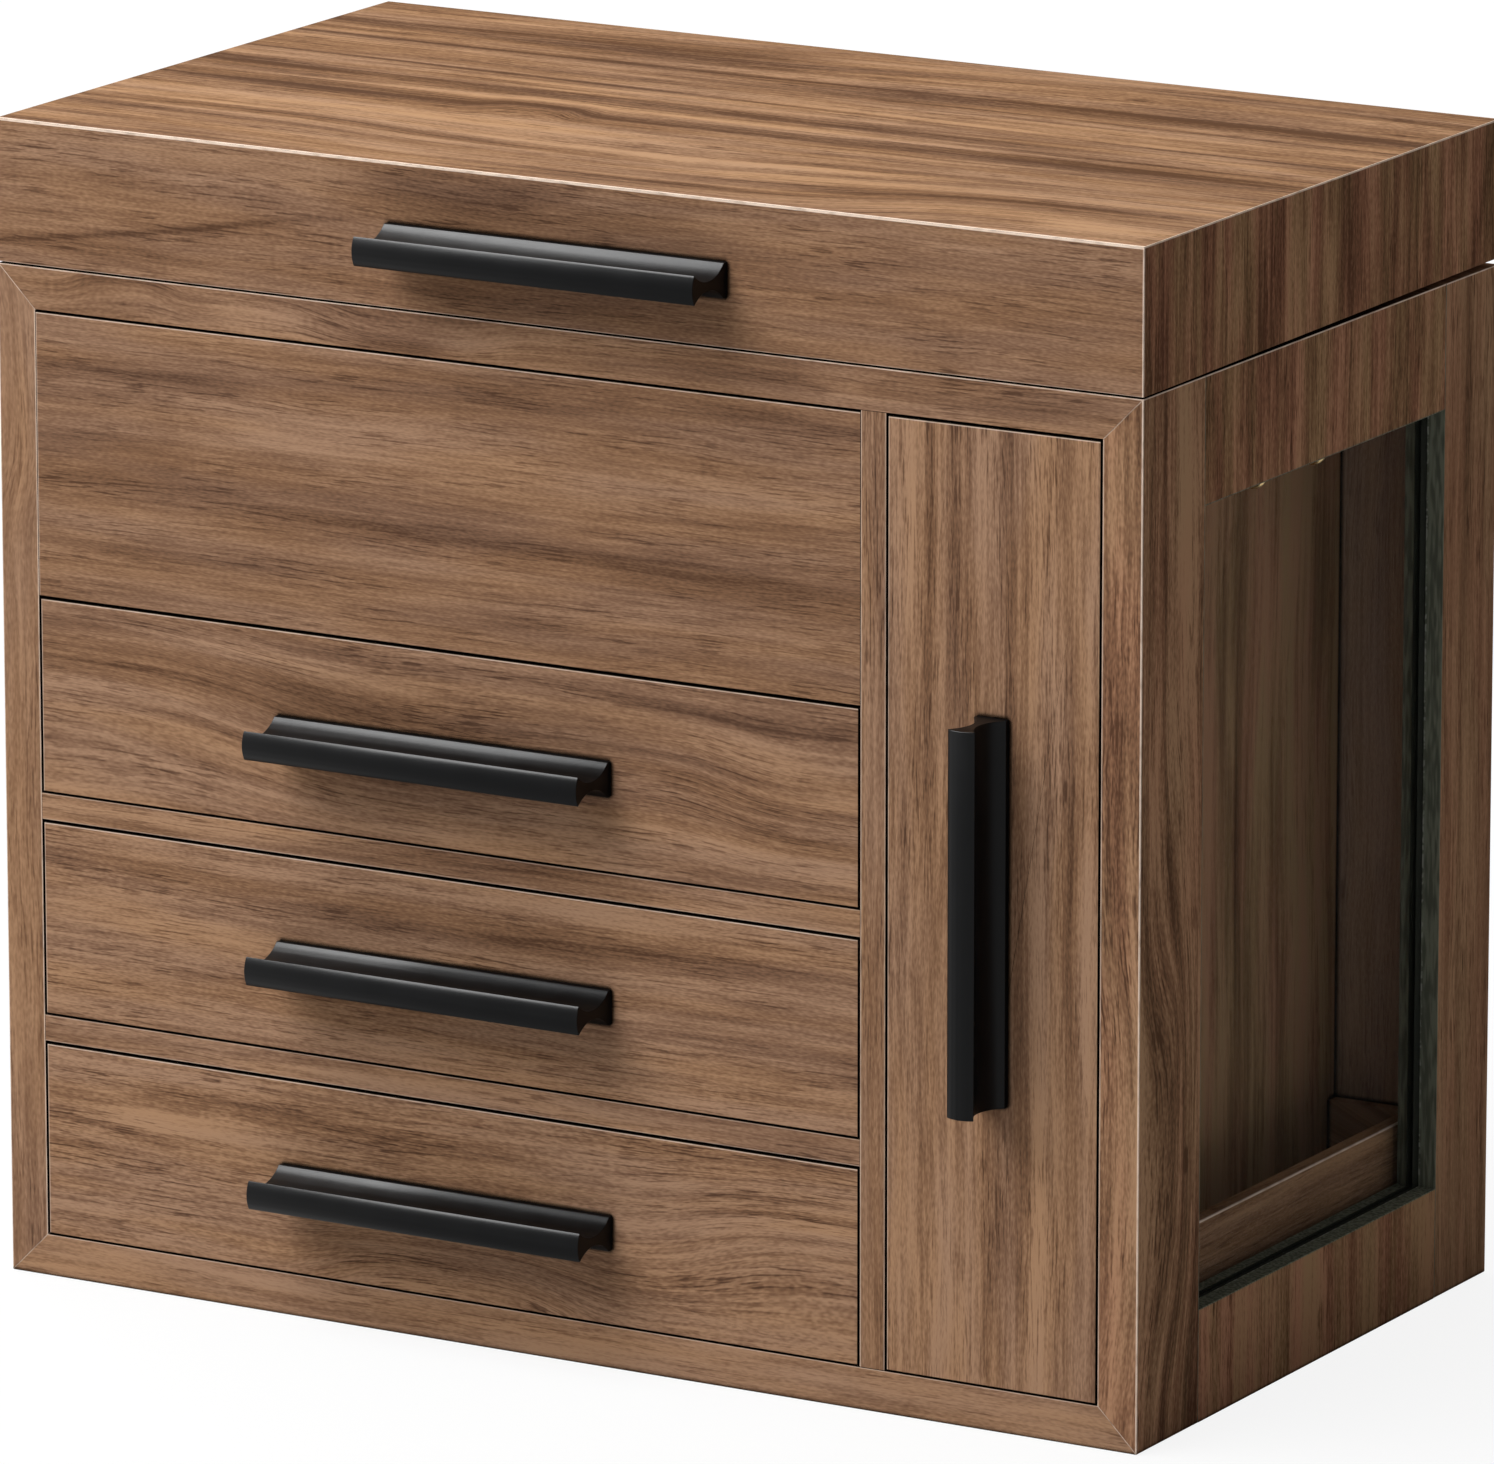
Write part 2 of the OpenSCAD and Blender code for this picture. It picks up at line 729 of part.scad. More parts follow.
// Middle of each hook's shank, the hook's opening turned away from the spine
module hook_places() {
    first_y = (board_t + tray_back - (hooks_side - 1) * hook_pitch) / 2 - hook_forward;
    for (side = [0, 1], k = [0:hooks_side - 1])
        translate([tray_mid, first_y + k * hook_pitch, tray_top_z])
            mirror([side, 0, 0]) translate([hook_out - hook_bend_r, 0, 0]) children();
}

module pull_out_top() {
    color(walnut_dark) from_corner() difference() {
        block([tray_l, board_t, tray_top_z], [tray_r, tray_back, tray_top_z + tray_top_t]);
        hook_places() translate([0, 0, -over])
            cylinder(h = hook_thread + hook_clear + over, r = hook_shank_r + hook_clear);
    }
}

// A cup hook under a board: thread, collar, shank, bend and ball tip
module cup_hook() {
    bend_z = -hook_drop + hook_bend_r + hook_wire_r;
    tip_a = 180 + hook_turn;
    shank_end = bend_z - hook_wire_r / 2;
    translate([0, 0, shank_end]) cylinder(h = hook_thread - shank_end, r = hook_shank_r);
    translate([0, 0, -collar_t]) cylinder(h = collar_t, r1 = collar_r * 0.6, r2 = collar_r);
    translate([hook_bend_r, 0, bend_z]) rotate([90, 0, 0]) {
        rotate([0, 0, 180]) rotate_extrude(angle = hook_turn)
            translate([hook_bend_r, 0]) circle(r = hook_wire_r);
        translate([hook_bend_r * cos(tip_a), hook_bend_r * sin(tip_a), 0]) sphere(r = tip_r);
    }
}

module necklace_hooks() {
    color(brass) from_corner() hook_places() cup_hook();
}

module pull_out_pads() {
    color(velvet) from_corner() for (x = [
        [tray_l + lip_t + soft_gap, tray_mid - spine_t / 2 - soft_gap],
        [tray_mid + spine_t / 2 + soft_gap, tray_r - lip_t - soft_gap]
    ]) block(
        [x[0], board_t + soft_gap, tray_floor],
        [x[1], tray_back - lip_rear_t - soft_gap, tray_floor + pad_t]
    );
}

module pull_out_pull() { color(black) from_corner() at_pull_out_pull() pull(); }
module pull_out_pull_screws() { color(steel) from_corner() at_pull_out_pull() pull_screws(); }

// Lid: five boards that meet in mitres along every edge

// Outline of a lid board in the plane of its mitres: one end board, then one side board
module end_outline() { mitred(case_w, board_t); }
module side_outline() {
    polygon([[0, 0], [board_t, board_t], [board_t, case_d - board_t], [0, case_d]]);
}

// Cross-section of a lid wall that stands on z0 and is mitred under the top
module lid_wall_section(z0) {
    polygon([[0, z0], [board_t, z0], [board_t, lid_under], [0, lid_top_z]]);
}

module lid_top() {
    color(walnut) from_corner() intersection() {
        along_y(0, case_d) translate([0, lid_top_z]) mirror([0, 1]) mitred(case_w, board_t);
        along_x(0, case_w) translate([0, lid_top_z]) mirror([0, 1]) mitred(case_d, board_t);
    }
}

module lid_front() {
    color(walnut) from_corner() difference() {
        intersection() {
            linear_extrude(lid_top_z) end_outline();
            along_x(0, case_w) lid_wall_section(lid_z0);
        }
        at_lid_pull() pull_holes();
    }
}

module lid_rear() {
    color(walnut) from_corner() difference() {
        translate([0, case_d, 0]) mirror([0, 1, 0]) intersection() {
            linear_extrude(lid_top_z) end_outline();
            along_x(0, case_w) lid_wall_section(lid_z1);
        }
        lid_leaf_screw_places() screw_hole();
    }
}

// The lower edge of a side rises from the front gap to the rear gap
module lid_side() {
    intersection() {
        linear_extrude(lid_top_z) side_outline();
        along_y(0, case_d) lid_wall_section(case_h);
        along_x(0, board_t) polygon([
            [0, lid_z0], [board_t, lid_z0], [back_y, lid_z1], [case_d, lid_z1],
            [case_d, lid_top_z], [0, lid_top_z]
        ]);
    }
}
module lid_left() { color(walnut) from_corner() lid_side(); }
module lid_right() { color(walnut) from_corner() translate([case_w, 0, 0]) mirror([1, 0, 0]) lid_side(); }

// A bar of the mirror frame, drawn from its outer face in and from its top down,
// with a rebate for the glass above and a bevel below
module frame_section() {
    rebate = mirror_t + frame_gap;
    polygon([
        [0, 0], [mirror_frame_w - mirror_hold, 0], [mirror_frame_w - mirror_hold, -rebate],
        [mirror_frame_w, -rebate], [mirror_frame_w, -mirror_frame_t + mirror_bevel],
        [mirror_frame_w - mirror_bevel, -mirror_frame_t], [0, -mirror_frame_t]
    ]);
}

// One mitred bar of a given length along X
module frame_bar(l) {
    intersection() {
        along_x(0, l) frame_section();
        translate([0, 0, -mirror_frame_t]) linear_extrude(mirror_frame_t)
            polygon([
                [glue_gap, 0], [l - glue_gap, 0],
                [l - mirror_frame_w - glue_gap, mirror_frame_w], [mirror_frame_w + glue_gap, mirror_frame_w]
            ]);
    }
}

module mirror_frame() {
    w = inner_r - inner_l - 2 * frame_gap;
    d = back_y - board_t - 2 * frame_gap;
    color(walnut_light) from_corner() translate([inner_l + frame_gap, board_t + frame_gap, lid_under]) {
        frame_bar(w);
        translate([w, d, 0]) rotate([0, 0, 180]) frame_bar(w);
        translate([w, 0, 0]) rotate([0, 0, 90]) frame_bar(d);
        translate([0, d, 0]) rotate([0, 0, -90]) frame_bar(d);
    }
}

module mirror_glass() {
    in = frame_gap + mirror_frame_w - mirror_hold + frame_gap;
    color(mirror_silver) from_corner() block(
        [inner_l + in, board_t + in, lid_under - mirror_t - frame_gap / 2],
        [inner_r - in, back_y - in, lid_under - frame_gap / 2]
    );
}

module lid_pull() { color(black) from_corner() at_lid_pull() pull(); }
module lid_pull_screws() { color(steel) from_corner() at_lid_pull() pull_screws(); }

// Hinges with heels that stop the lid

module leaf_screw_places() {
    for (h = hinge_at, side = [-1, 1])
        translate([h + side * hinge_screw_pitch / 2, case_d - leaf_w / 2, 0]) children();
}
module case_leaf_screw_places() { leaf_screw_places() translate([0, 0, case_h + leaf_t]) children(); }
module lid_leaf_screw_places() {
    leaf_screw_places() translate([0, 0, lid_z1 - leaf_t]) rotate([180, 0, 0]) children();
}

// A countersunk screw pointing down, its head flush with a leaf's face at the origin,
// and the hole that it needs in the leaf, each a little wider than the other by clear
module hinge_screw(clear = 0) {
    end = -leaf_t - hinge_screw_l - clear;
    rotate_extrude() polygon([
        [0, 0], [hinge_head_r + clear, 0],
        [hinge_screw_r + clear, -leaf_t], [hinge_screw_r + clear, end], [0, end]
    ]);
}
module screw_hole() {
    translate([0, 0, -leaf_t - hinge_screw_l - pin_clear])
        cylinder(h = hinge_screw_l + leaf_t + over, r = hinge_screw_r + pin_clear);
}

// One leaf: a plate from z0 to z1, its own knuckles counted from first, and what its
// heel adds: a bar along the whole hinge and a web from each knuckle to that bar
module leaf(z0, z1, first) {
    seg = hinge_l / knuckles;
    y0 = case_d - leaf_w;
    difference() {
        union() {
            block([-hinge_l / 2, y0, z0], [hinge_l / 2, pivot_y - barrel_r - knuckle_clear, z1]);
            for (k = [first:2:knuckles - 1]) {
                x0 = -hinge_l / 2 + k * seg + (k > 0 ? knuckle_clear / 2 : 0);
                x1 = -hinge_l / 2 + (k + 1) * seg - (k < knuckles - 1 ? knuckle_clear / 2 : 0);
                rod_x(pivot_y, pivot_z, x0, x1, barrel_r);
                block([x0, y0, z0], [x1, pivot_y, z1]);
                translate([x0, 0, 0]) children(1);
            }
            children(0);
        }
        rod_x(pivot_y, pivot_z, -hinge_l, hinge_l, pin_r + pin_clear);
    }
}

module case_hinge_leaves() {
    seg = hinge_l / knuckles - knuckle_clear;
    face = pivot_y + heel_face;
    under = pivot_z - barrel_r;
    color(brass) from_corner() difference() {
        for (h = hinge_at) translate([h, 0, 0]) leaf(case_h, case_h + leaf_t, 0) {
            block([-hinge_l / 2, face - heel_t, under - heel_l], [hinge_l / 2, face, under]);
            block([0, face - heel_t, under - heel_l], [seg, face, pivot_z - barrel_r / 2]);
        }
        case_leaf_screw_places() hinge_screw(pin_clear);
    }
}

module lid_hinge_leaves() {
    seg = hinge_l / knuckles - knuckle_clear;
    start = pivot_y + barrel_r + knuckle_clear;
    color(brass) from_corner() difference() {
        for (h = hinge_at) translate([h, 0, 0]) leaf(lid_z1 - leaf_t, lid_z1, 1) {
            block(
                [-hinge_l / 2, start, pivot_z - heel_t / 2],
                [hinge_l / 2, pivot_y + heel_end, pivot_z + heel_t / 2]
            );
            block(
                [0, pivot_y + barrel_r / 2, pivot_z - heel_t / 2],
                [seg, start + heel_t, pivot_z + heel_t / 2]
            );
        }
        lid_leaf_screw_places() hinge_screw(pin_clear);
    }
}

module hinge_pins() {
    color(steel) from_corner() for (h = hinge_at)
        rod_x(pivot_y, pivot_z, h - hinge_l / 2, h + hinge_l / 2, pin_r);
}
module case_hinge_screws() { color(steel) from_corner() case_leaf_screw_places() hinge_screw(); }
module lid_hinge_screws() { color(steel) from_corner() lid_leaf_screw_places() hinge_screw(); }

left_side();
right_stiles();
right_rails();
top_board();
bottom_board();
back_board();
divider();
upper_shelf();
lower_shelf();
compartment_floor();
fixed_front();
window_pane();
compartment_lining();
compartment_partitions();
lid_bumpers();
case_hinge_leaves();
case_hinge_screws();
hinge_pins();
lid_top();
lid_front();
lid_rear();
lid_left();
lid_right();
mirror_frame();
mirror_glass();
lid_hinge_leaves();
lid_hinge_screws();
lid_pull();
lid_pull_screws();
upper_drawer_front();
upper_drawer_walls();
upper_drawer_bottom();
upper_drawer_lining();
upper_drawer_partitions();
upper_drawer_ring_rolls();
upper_drawer_pull();
upper_drawer_pull_screws();
middle_drawer_front();
middle_drawer_walls();
middle_drawer_bottom();
middle_drawer_lining();
middle_drawer_partitions();
middle_drawer_pull();
middle_drawer_pull_screws();
lower_drawer_front();
lower_drawer_walls();
lower_drawer_bottom();
lower_drawer_lining();
lower_drawer_pull();
lower_drawer_pull_screws();
pull_out_front();
pull_out_base();
pull_out_lips();
pull_out_spine();
pull_out_top();
pull_out_pads();
necklace_hooks();
pull_out_pull();
pull_out_pull_screws();
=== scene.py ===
import bpy
import math
from mathutils import Matrix, Vector, noise


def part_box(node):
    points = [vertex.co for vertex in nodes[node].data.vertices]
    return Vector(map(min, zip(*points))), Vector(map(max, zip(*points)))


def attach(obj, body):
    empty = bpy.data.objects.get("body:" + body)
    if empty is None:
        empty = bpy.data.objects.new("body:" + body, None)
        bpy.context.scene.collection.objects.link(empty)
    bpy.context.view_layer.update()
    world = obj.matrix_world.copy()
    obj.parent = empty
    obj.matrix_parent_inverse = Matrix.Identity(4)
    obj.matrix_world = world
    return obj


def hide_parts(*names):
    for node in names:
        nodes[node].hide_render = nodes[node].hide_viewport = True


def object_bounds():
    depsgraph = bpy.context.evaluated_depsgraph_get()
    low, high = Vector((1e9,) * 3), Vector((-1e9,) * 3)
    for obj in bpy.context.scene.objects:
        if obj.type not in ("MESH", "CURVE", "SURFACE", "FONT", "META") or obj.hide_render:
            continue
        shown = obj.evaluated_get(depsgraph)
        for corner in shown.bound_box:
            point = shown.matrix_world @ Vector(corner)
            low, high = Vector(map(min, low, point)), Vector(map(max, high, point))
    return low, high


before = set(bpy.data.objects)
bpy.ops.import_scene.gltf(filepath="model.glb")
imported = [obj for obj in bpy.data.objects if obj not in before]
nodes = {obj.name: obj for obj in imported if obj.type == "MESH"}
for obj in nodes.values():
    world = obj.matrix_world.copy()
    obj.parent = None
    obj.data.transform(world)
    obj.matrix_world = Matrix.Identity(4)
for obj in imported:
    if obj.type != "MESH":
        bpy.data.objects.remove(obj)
cad_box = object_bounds()
MM = 0.001
AXES = {"x": 0, "y": 1, "z": 2}

# Camera, fitted to the photograph
CAMERA_PLACE = (1.44967, -2.48945, 0.82919)
CAMERA_AZIMUTH = 30.218
CAMERA_ELEVATION = 13.643
CAMERA_ROLL = -0.045
CAMERA_LENS = 307.55
SENSOR_WIDTH = 36

# Colours, as linear red, green and blue
WALNUT = ((0.095, 0.049, 0.029), (0.223, 0.122, 0.071), (0.385, 0.228, 0.136))
PLAIN = (1.0, 1.0, 1.0)
WARM = (1.07, 0.99, 0.94)
SOFT_WARM = (1.04, 1.0, 0.97)
TAN = (1.02, 1.02, 0.97)
PLUM = (1.15, 1.35, 1.60)
SOFT_HUES = ((1.018, 1.0, 0.950), (0.982, 1.0, 1.050))
CLEAR_HUES = ((1.055, 0.965, 1.000), (0.945, 1.035, 0.955))
MILD_HUES = ((1.030, 0.985, 0.985), (0.970, 1.015, 0.985))
CREAM = (0.800, 0.640, 0.520)
# Painted shade, for narrow gaps, corners and the wood round the pulls
PAINTED_GAP_SHADE = (0.006, 0.004, 0.003)
JAMB = (0.190, 0.200, 0.150)
JAMB_DARK = (0.100, 0.106, 0.080)
CHIPS = (0.300, 0.300, 0.260)
# Painted shade, as an opaque band on the pane's rear and lower edges
PANE_SHADE_BAND = (0.034, 0.036, 0.029)
PANE = (0.010, 0.012, 0.011)
MIRROR = (0.860, 0.890, 0.880)
PULL_BLACK = (0.0012, 0.0013, 0.0015)
BRASS = (0.740, 0.540, 0.270)
STEEL = (0.540, 0.545, 0.555)
VELVET = (0.560, 0.450, 0.335)
VELVET_DEEP = (0.430, 0.335, 0.240)
RUBBER = (0.300, 0.300, 0.310)
FLOOR_SEEN = (0.800, 0.800, 0.800)
FLOOR_LIT = (0.550, 0.550, 0.550)
WHITE = (1.0, 1.0, 1.0)

# How much of the floor glows where it is seen, and its gap under the object in millimetres
FLOOR_GLOW = 0.88
FLOOR_GAP = 0.2


# Nodes of a material as sums and products

MIX_FACTOR = 0
MIX_FIRST = 6
MIX_SECOND = 7
MIX_RESULT = 2


def feed(tree, slot, value):
    """Links a field to a node's slot, or sets the slot to a number or a colour."""
    if isinstance(value, Field):
        tree.links.new(value.socket, slot)
    elif isinstance(value, tuple):
        slot.default_value = (*value, 1)
    else:
        slot.default_value = value


class Field:
    """The output of a shader node, which takes part in formulas."""

    def __init__(self, tree, socket):
        self.tree = tree
        self.socket = socket

    def math(self, operation, *others):
        node = self.tree.nodes.new("ShaderNodeMath")
        node.operation = operation
        for slot, value in zip(node.inputs, (self,) + others):
            feed(self.tree, slot, value)
        return Field(self.tree, node.outputs[0])

    def __add__(self, other):
        return self.math("ADD", other)

    def __sub__(self, other):
        return self.math("SUBTRACT", other)

    def __mul__(self, other):
        return self.math("MULTIPLY", other)

    def __truediv__(self, other):
        return self.math("DIVIDE", other)

    def rise(self, low, high):
        """0 below low and 1 above high, smooth in between."""
        node = self.tree.nodes.new("ShaderNodeMapRange")
        node.interpolation_type = "SMOOTHSTEP"
        for slot, value in zip(node.inputs, (self, low, high)):
            feed(self.tree, slot, value)
        return Field(self.tree, node.outputs[0])


class Finish:
    """A material with a Principled shader, and the fields to drive it. Its place is that of
    a point on the piece, in millimetres along x, y and z."""

    def __init__(self, name, **fixed):
        self.material = bpy.data.materials.new(name)
        self.material.use_nodes = True
        self.tree = self.material.node_tree
        self.shader = self.tree.nodes["Principled BSDF"]
        for socket, value in fixed.items():
            self.shader.inputs[socket.replace("_", " ")].default_value = value
        source = self.tree.nodes.new("ShaderNodeTexCoord")
        split = self.tree.nodes.new("ShaderNodeSeparateXYZ")
        self.tree.links.new(source.outputs["Object"], split.inputs[0])
        self.place = [Field(self.tree, out) * (1 / MM) for out in split.outputs]

    def vector(self, *fields):
        node = self.tree.nodes.new("ShaderNodeCombineXYZ")
        for slot, field in zip(node.inputs, fields):
            feed(self.tree, slot, field)
        return node.outputs[0]

    def noise(self, fields, detail=2.0, rough=0.5):
        """Soft noise whose features are about 1 across in the given fields."""
        node = self.tree.nodes.new("ShaderNodeTexNoise")
        node.inputs["Scale"].default_value = 1
        node.inputs["Detail"].default_value = detail
        node.inputs["Roughness"].default_value = rough
        self.tree.links.new(self.vector(*fields), node.inputs["Vector"])
        return Field(self.tree, node.outputs["Fac"])

    def mix(self, factor, first, second, blend="MIX"):
        """The first colour where the factor is 0, and the second where it is 1."""
        node = self.tree.nodes.new("ShaderNodeMix")
        node.data_type = "RGBA"
        node.blend_type = blend
        for slot, value in ((MIX_FACTOR, factor), (MIX_FIRST, first), (MIX_SECOND, second)):
            feed(self.tree, node.inputs[slot], value)
        return Field(self.tree, node.outputs[MIX_RESULT])

    def times(self, first, second):
        return self.mix(1, first, second, "MULTIPLY")

    def shelter(self, reach):
        """1 on open faces, and towards 0 deep in narrow gaps and corners."""
        node = self.tree.nodes.new("ShaderNodeAmbientOcclusion")
        node.samples = 6
        node.inputs["Distance"].default_value = reach * MM
        return Field(self.tree, node.outputs["AO"])

    def drive(self, socket, field):
        self.tree.links.new(field.socket, self.shader.inputs[socket])

    def bump(self, height, depth):
        """Height from 0 to 1 stands for depth in millimetres."""
        node = self.tree.nodes.new("ShaderNodeBump")
        node.inputs["Strength"].default_value = 1
        node.inputs["Distance"].default_value = depth * MM
        self.tree.links.new(height.socket, node.inputs["Height"])
        self.tree.links.new(node.outputs[0], self.shader.inputs["Normal"])


# The parts of the veneer's figure, each with its length along the grain and its width across
# it in millimetres
SWAY = (110, 40)
CLOUD = (90, 13)
BAND = (110, 3.6)
FIBRE = (22, 0.85)
SPECK = (1.4, 0.34)
PORE = (8, 0.45)
PORE_CROWD = (34, 4.5)
CAST = (60, 7)
WEAR = 5

# How much the parts take from or add to the level that picks a colour, from dark to light
MIDDLE_LEVEL = 0.61
CLOUD_LEVEL = 0.9
BAND_LEVEL = 1.2
FIBRE_LEVEL = 0.65
SPECK_LEVEL = 0.45
PORE_LEVEL = 0.36
DARK_TO_BROWN = (-0.12, 0.62)
BROWN_TO_LIGHT = (0.42, 1.15)
CALM_BROAD = 0.4
CALM_FINE = 0.45

# Where each noise begins to count, and where it counts in full
PORE_RISE = (0.54, 0.68)
CROWD_RISE = (0.35, 0.70)
CAST_RISE = (0.30, 0.70)
WEAR_RISE = (0.30, 0.55)

# The relief of the veneer in millimetres, and the share of its parts
WOOD_RELIEF = 0.05
BAND_RELIEF = 0.8
FIBRE_RELIEF = 0.6
SPECK_RELIEF = 0.4

# How the figure moves on for each millimetre that a board's outer face lies further out
FACE_SHIFT = 0.8
WOOD_ROUGHNESS = 0.55

# How far a gap's other side may lie in millimetres for the painted shade to darken it,
# and how wear thins the pale lines
GAP_REACH = 1.3
GAP_RISE = (0.94, 0.66)
EDGE_BLUR = 0.06
EDGE_WORN = 0.4
SEAM_WORN = 0.45
SEAM_LEAST = 0.15

# The case and its window, from the frame in millimetres. The pane sits in grooves of the
# boards round it, and the widths of the painted shade band on it count from its edge.
case_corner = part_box("left_side")[0] / MM
case_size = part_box("right_stiles")[1] / MM - case_corner
pane_low, pane_high = (corner / MM - case_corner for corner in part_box("window_pane"))
PANE_SEAT = 2.9
WINDOW_FRONT = pane_low.y + PANE_SEAT
WINDOW_REAR = pane_high.y - PANE_SEAT
WINDOW_LOW = pane_low.z + PANE_SEAT
WINDOW_HIGH = pane_high.z - PANE_SEAT
CHIP_LINE = pane_high.x + 0.3
SHADE_BAND_BEHIND = 5.6
SHADE_BAND_BELOW = 3.36


class Board(Finish):
    """A finish for one board. Its lengths are in millimetres from the case's left, front and
    lower faces: u along the grain, v across it and w through the board."""

    def __init__(self, node, grain, across):
        super().__init__("walnut_" + node, Roughness=WOOD_ROUGHNESS, Specular_IOR_Level=0.0)
        self.low, self.high = (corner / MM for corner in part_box(node))
        through = ({"x", "y", "z"} - {grain, across}).pop()
        self.u, self.v, self.w = (self.from_case(axis) for axis in (grain, across, through))
        i = AXES[through]
        middle = (cad_box[0] + cad_box[1]) / 2
        outer = max(self.low[i], self.high[i], key=lambda face: abs(face - middle[i] / MM))
        self.outer = outer - case_corner[i]

    def from_case(self, axis):
        return self.place[AXES[axis]] - case_corner[AXES[axis]]

    def strip(self, side, width):
        """1 within a width of one side of the board, such as z+."""
        i = AXES[side[0]]
        if side[1] == "+":
            return (self.place[i] - (self.high[i] - width)).rise(-EDGE_BLUR, EDGE_BLUR)
        return (self.place[i] - (self.low[i] + width)).rise(EDGE_BLUR, -EDGE_BLUR)

    def jamb_paint(self):
        """Dark paint, with pale chips along the line where the window pane sits."""
        rough = self.noise((self.u / 7, self.v / 0.8, self.w / 0.8), 1.0)
        paint = self.mix(rough.rise(0.35, 0.65), JAMB_DARK, JAMB)
        chip = (self.w - CHIP_LINE).math("ABSOLUTE").rise(0.40, 0.15)
        chip = chip * self.noise([f / 1.1 for f in self.place], 1.0).rise(0.50, 0.60)
        return self.mix(chip, paint, CHIPS)


def walnut(node, grain, across, seed, tone=0.0, contrast=1.0, figure=5.0, pores=1.0,
           tint=PLAIN, hues=SOFT_HUES, inner=PLAIN, slant=0.5, calm=None,
           lifts=(), streaks=(), edges=(), seams=(), jambs=()):
    """Walnut veneer for one board. Lengths are in millimetres from the case's left, front
    and lower faces, along and across the grain.
    tone, contrast, pores: how light the board is, and how strong its figure and its fibres.
    figure: how far its rings sway.
    tint: multiplies its colours, and inner those behind its outer face.
    hues: the two casts that it changes between.
    slant: how the figure slants through the board's thickness.
    calm: (axis, first, last) fades the figure from one place to another.
    lifts: (along, across, half length, half width, height) bend the figure, and make eyes.
    streaks: (along, across, half length, half width, strength, slope) darken the figure, or
    lighten it where the strength is below 0.
    edges: (one side, other side, width, strength) show the pale end of the veneer where two
    faces meet, or paint the shade of a gap where the strength is below 0.
    seams: (x share, z share, offset, width) show it along a slanting joint.
    jambs: (axis, place) are painted dark."""
    board = Board(node, grain, across)
    u, v, w = board.u, board.v, board.w
    sway = board.noise((u / SWAY[0] + seed, v / SWAY[1], w / SWAY[1]), 1.0) - 0.5
    rings = v + sway * (2 * figure)
    for along, side, length, width, lift in lifts:
        rings = rings - gauss(u - along, length, v - side, width) * lift
    deep = rings + (w - board.outer) * slant + board.outer * FACE_SHIFT

    cloud = board.noise((u / CLOUD[0] + seed, deep / CLOUD[1], seed), 1.0) - 0.5
    band = board.noise((u / BAND[0], deep / BAND[1] + seed, seed), 2.0, 0.65) - 0.5
    fibre = board.noise((u / FIBRE[0], deep / FIBRE[1], seed), 1.0, 0.6) - 0.5
    speck = board.noise((u / SPECK[0], deep / SPECK[1], seed), 0.0) - 0.5
    broad = (cloud * CLOUD_LEVEL + band * BAND_LEVEL) * contrast
    fine = (fibre * FIBRE_LEVEL + speck * SPECK_LEVEL) * pores
    if calm:
        axis, first, last = calm
        still = board.from_case(axis).rise(first, last)
        broad = broad * (still * -CALM_BROAD + 1)
        fine = fine * (still * -CALM_FINE + 1)
    level = broad + fine + (MIDDLE_LEVEL + tone)
    for along, side, length, width, strength, slope in streaks:
        off = rings - (u - along) * slope - side if slope else rings - side
        level = level - gauss(u - along, length, off, width) * strength
    pore = board.noise((u / PORE[0] + seed, deep / PORE[1], 7.0), 0.0)
    crowd = board.noise((u / PORE_CROWD[0], deep / PORE_CROWD[1], seed + 9), 1.0)
    pore = pore.rise(*PORE_RISE) * crowd.rise(*CROWD_RISE)
    level = level - pore * (PORE_LEVEL * pores)

    dark, brown, light = (tuple(c * t for c, t in zip(colour, tint)) for colour in WALNUT)
    shade = board.mix(level.rise(*DARK_TO_BROWN), dark, brown)
    shade = board.mix(level.rise(*BROWN_TO_LIGHT), shade, light)
    cast = board.noise((u / CAST[0], deep / CAST[1], seed + 3), 1.0)
    shade = board.times(shade, board.mix(cast.rise(*CAST_RISE), *hues))
    if inner != PLAIN:
        behind = (w - board.outer).math("ABSOLUTE").rise(1.0, 2.0)
        shade = board.times(shade, board.mix(behind, PLAIN, inner))

    wear = board.noise((u / WEAR, v / WEAR, w / WEAR), 2.0).rise(*WEAR_RISE)
    for first, second, width, strength in edges:
        line = board.strip(first, width) * board.strip(second, width)
        if strength > 0:
            pale = wear * (EDGE_WORN * strength) + (1 - EDGE_WORN) * strength
            shade = board.mix(line * pale, shade, CREAM)
        else:
            # painted shade of a gap along this edge
            shade = board.mix(line * -strength, shade, PAINTED_GAP_SHADE)
    # Painted shade: ambient occlusion darkens the wood in narrow gaps, in corners and round the pulls
    shade = board.mix(board.shelter(GAP_REACH).rise(*GAP_RISE), shade, PAINTED_GAP_SHADE)
    for across_x, across_z, offset, width in seams:
        line = board.from_case("x") * across_x + board.from_case("z") * across_z - offset
        line = line.math("ABSOLUTE").rise(width * 1.3, width * 0.7)
        shade = board.mix(line * (wear * SEAM_WORN + SEAM_LEAST), shade, CREAM)
    for axis, place in jambs:
        off = (board.from_case(axis) - place).math("ABSOLUTE")
        shade = board.mix(off.rise(0.35, 0.15), shade, board.jamb_paint())
    board.drive("Base Color", shade)
    board.drive("Roughness", band * 0.3 + WOOD_ROUGHNESS)
    relief = band * BAND_RELIEF + fibre * FIBRE_RELIEF + speck * SPECK_RELIEF - pore
    board.bump(relief, WOOD_RELIEF)
    return board.material


def gauss(u, length, v, width):
    """A soft oval, 1 in its middle, with a flatter course along the grain."""
    far = (u / length).math("POWER", 2.0)
    off = (v / width).math("POWER", 2.0)
    return (far * far + off).math("MULTIPLY", -1.0).math("EXPONENT")


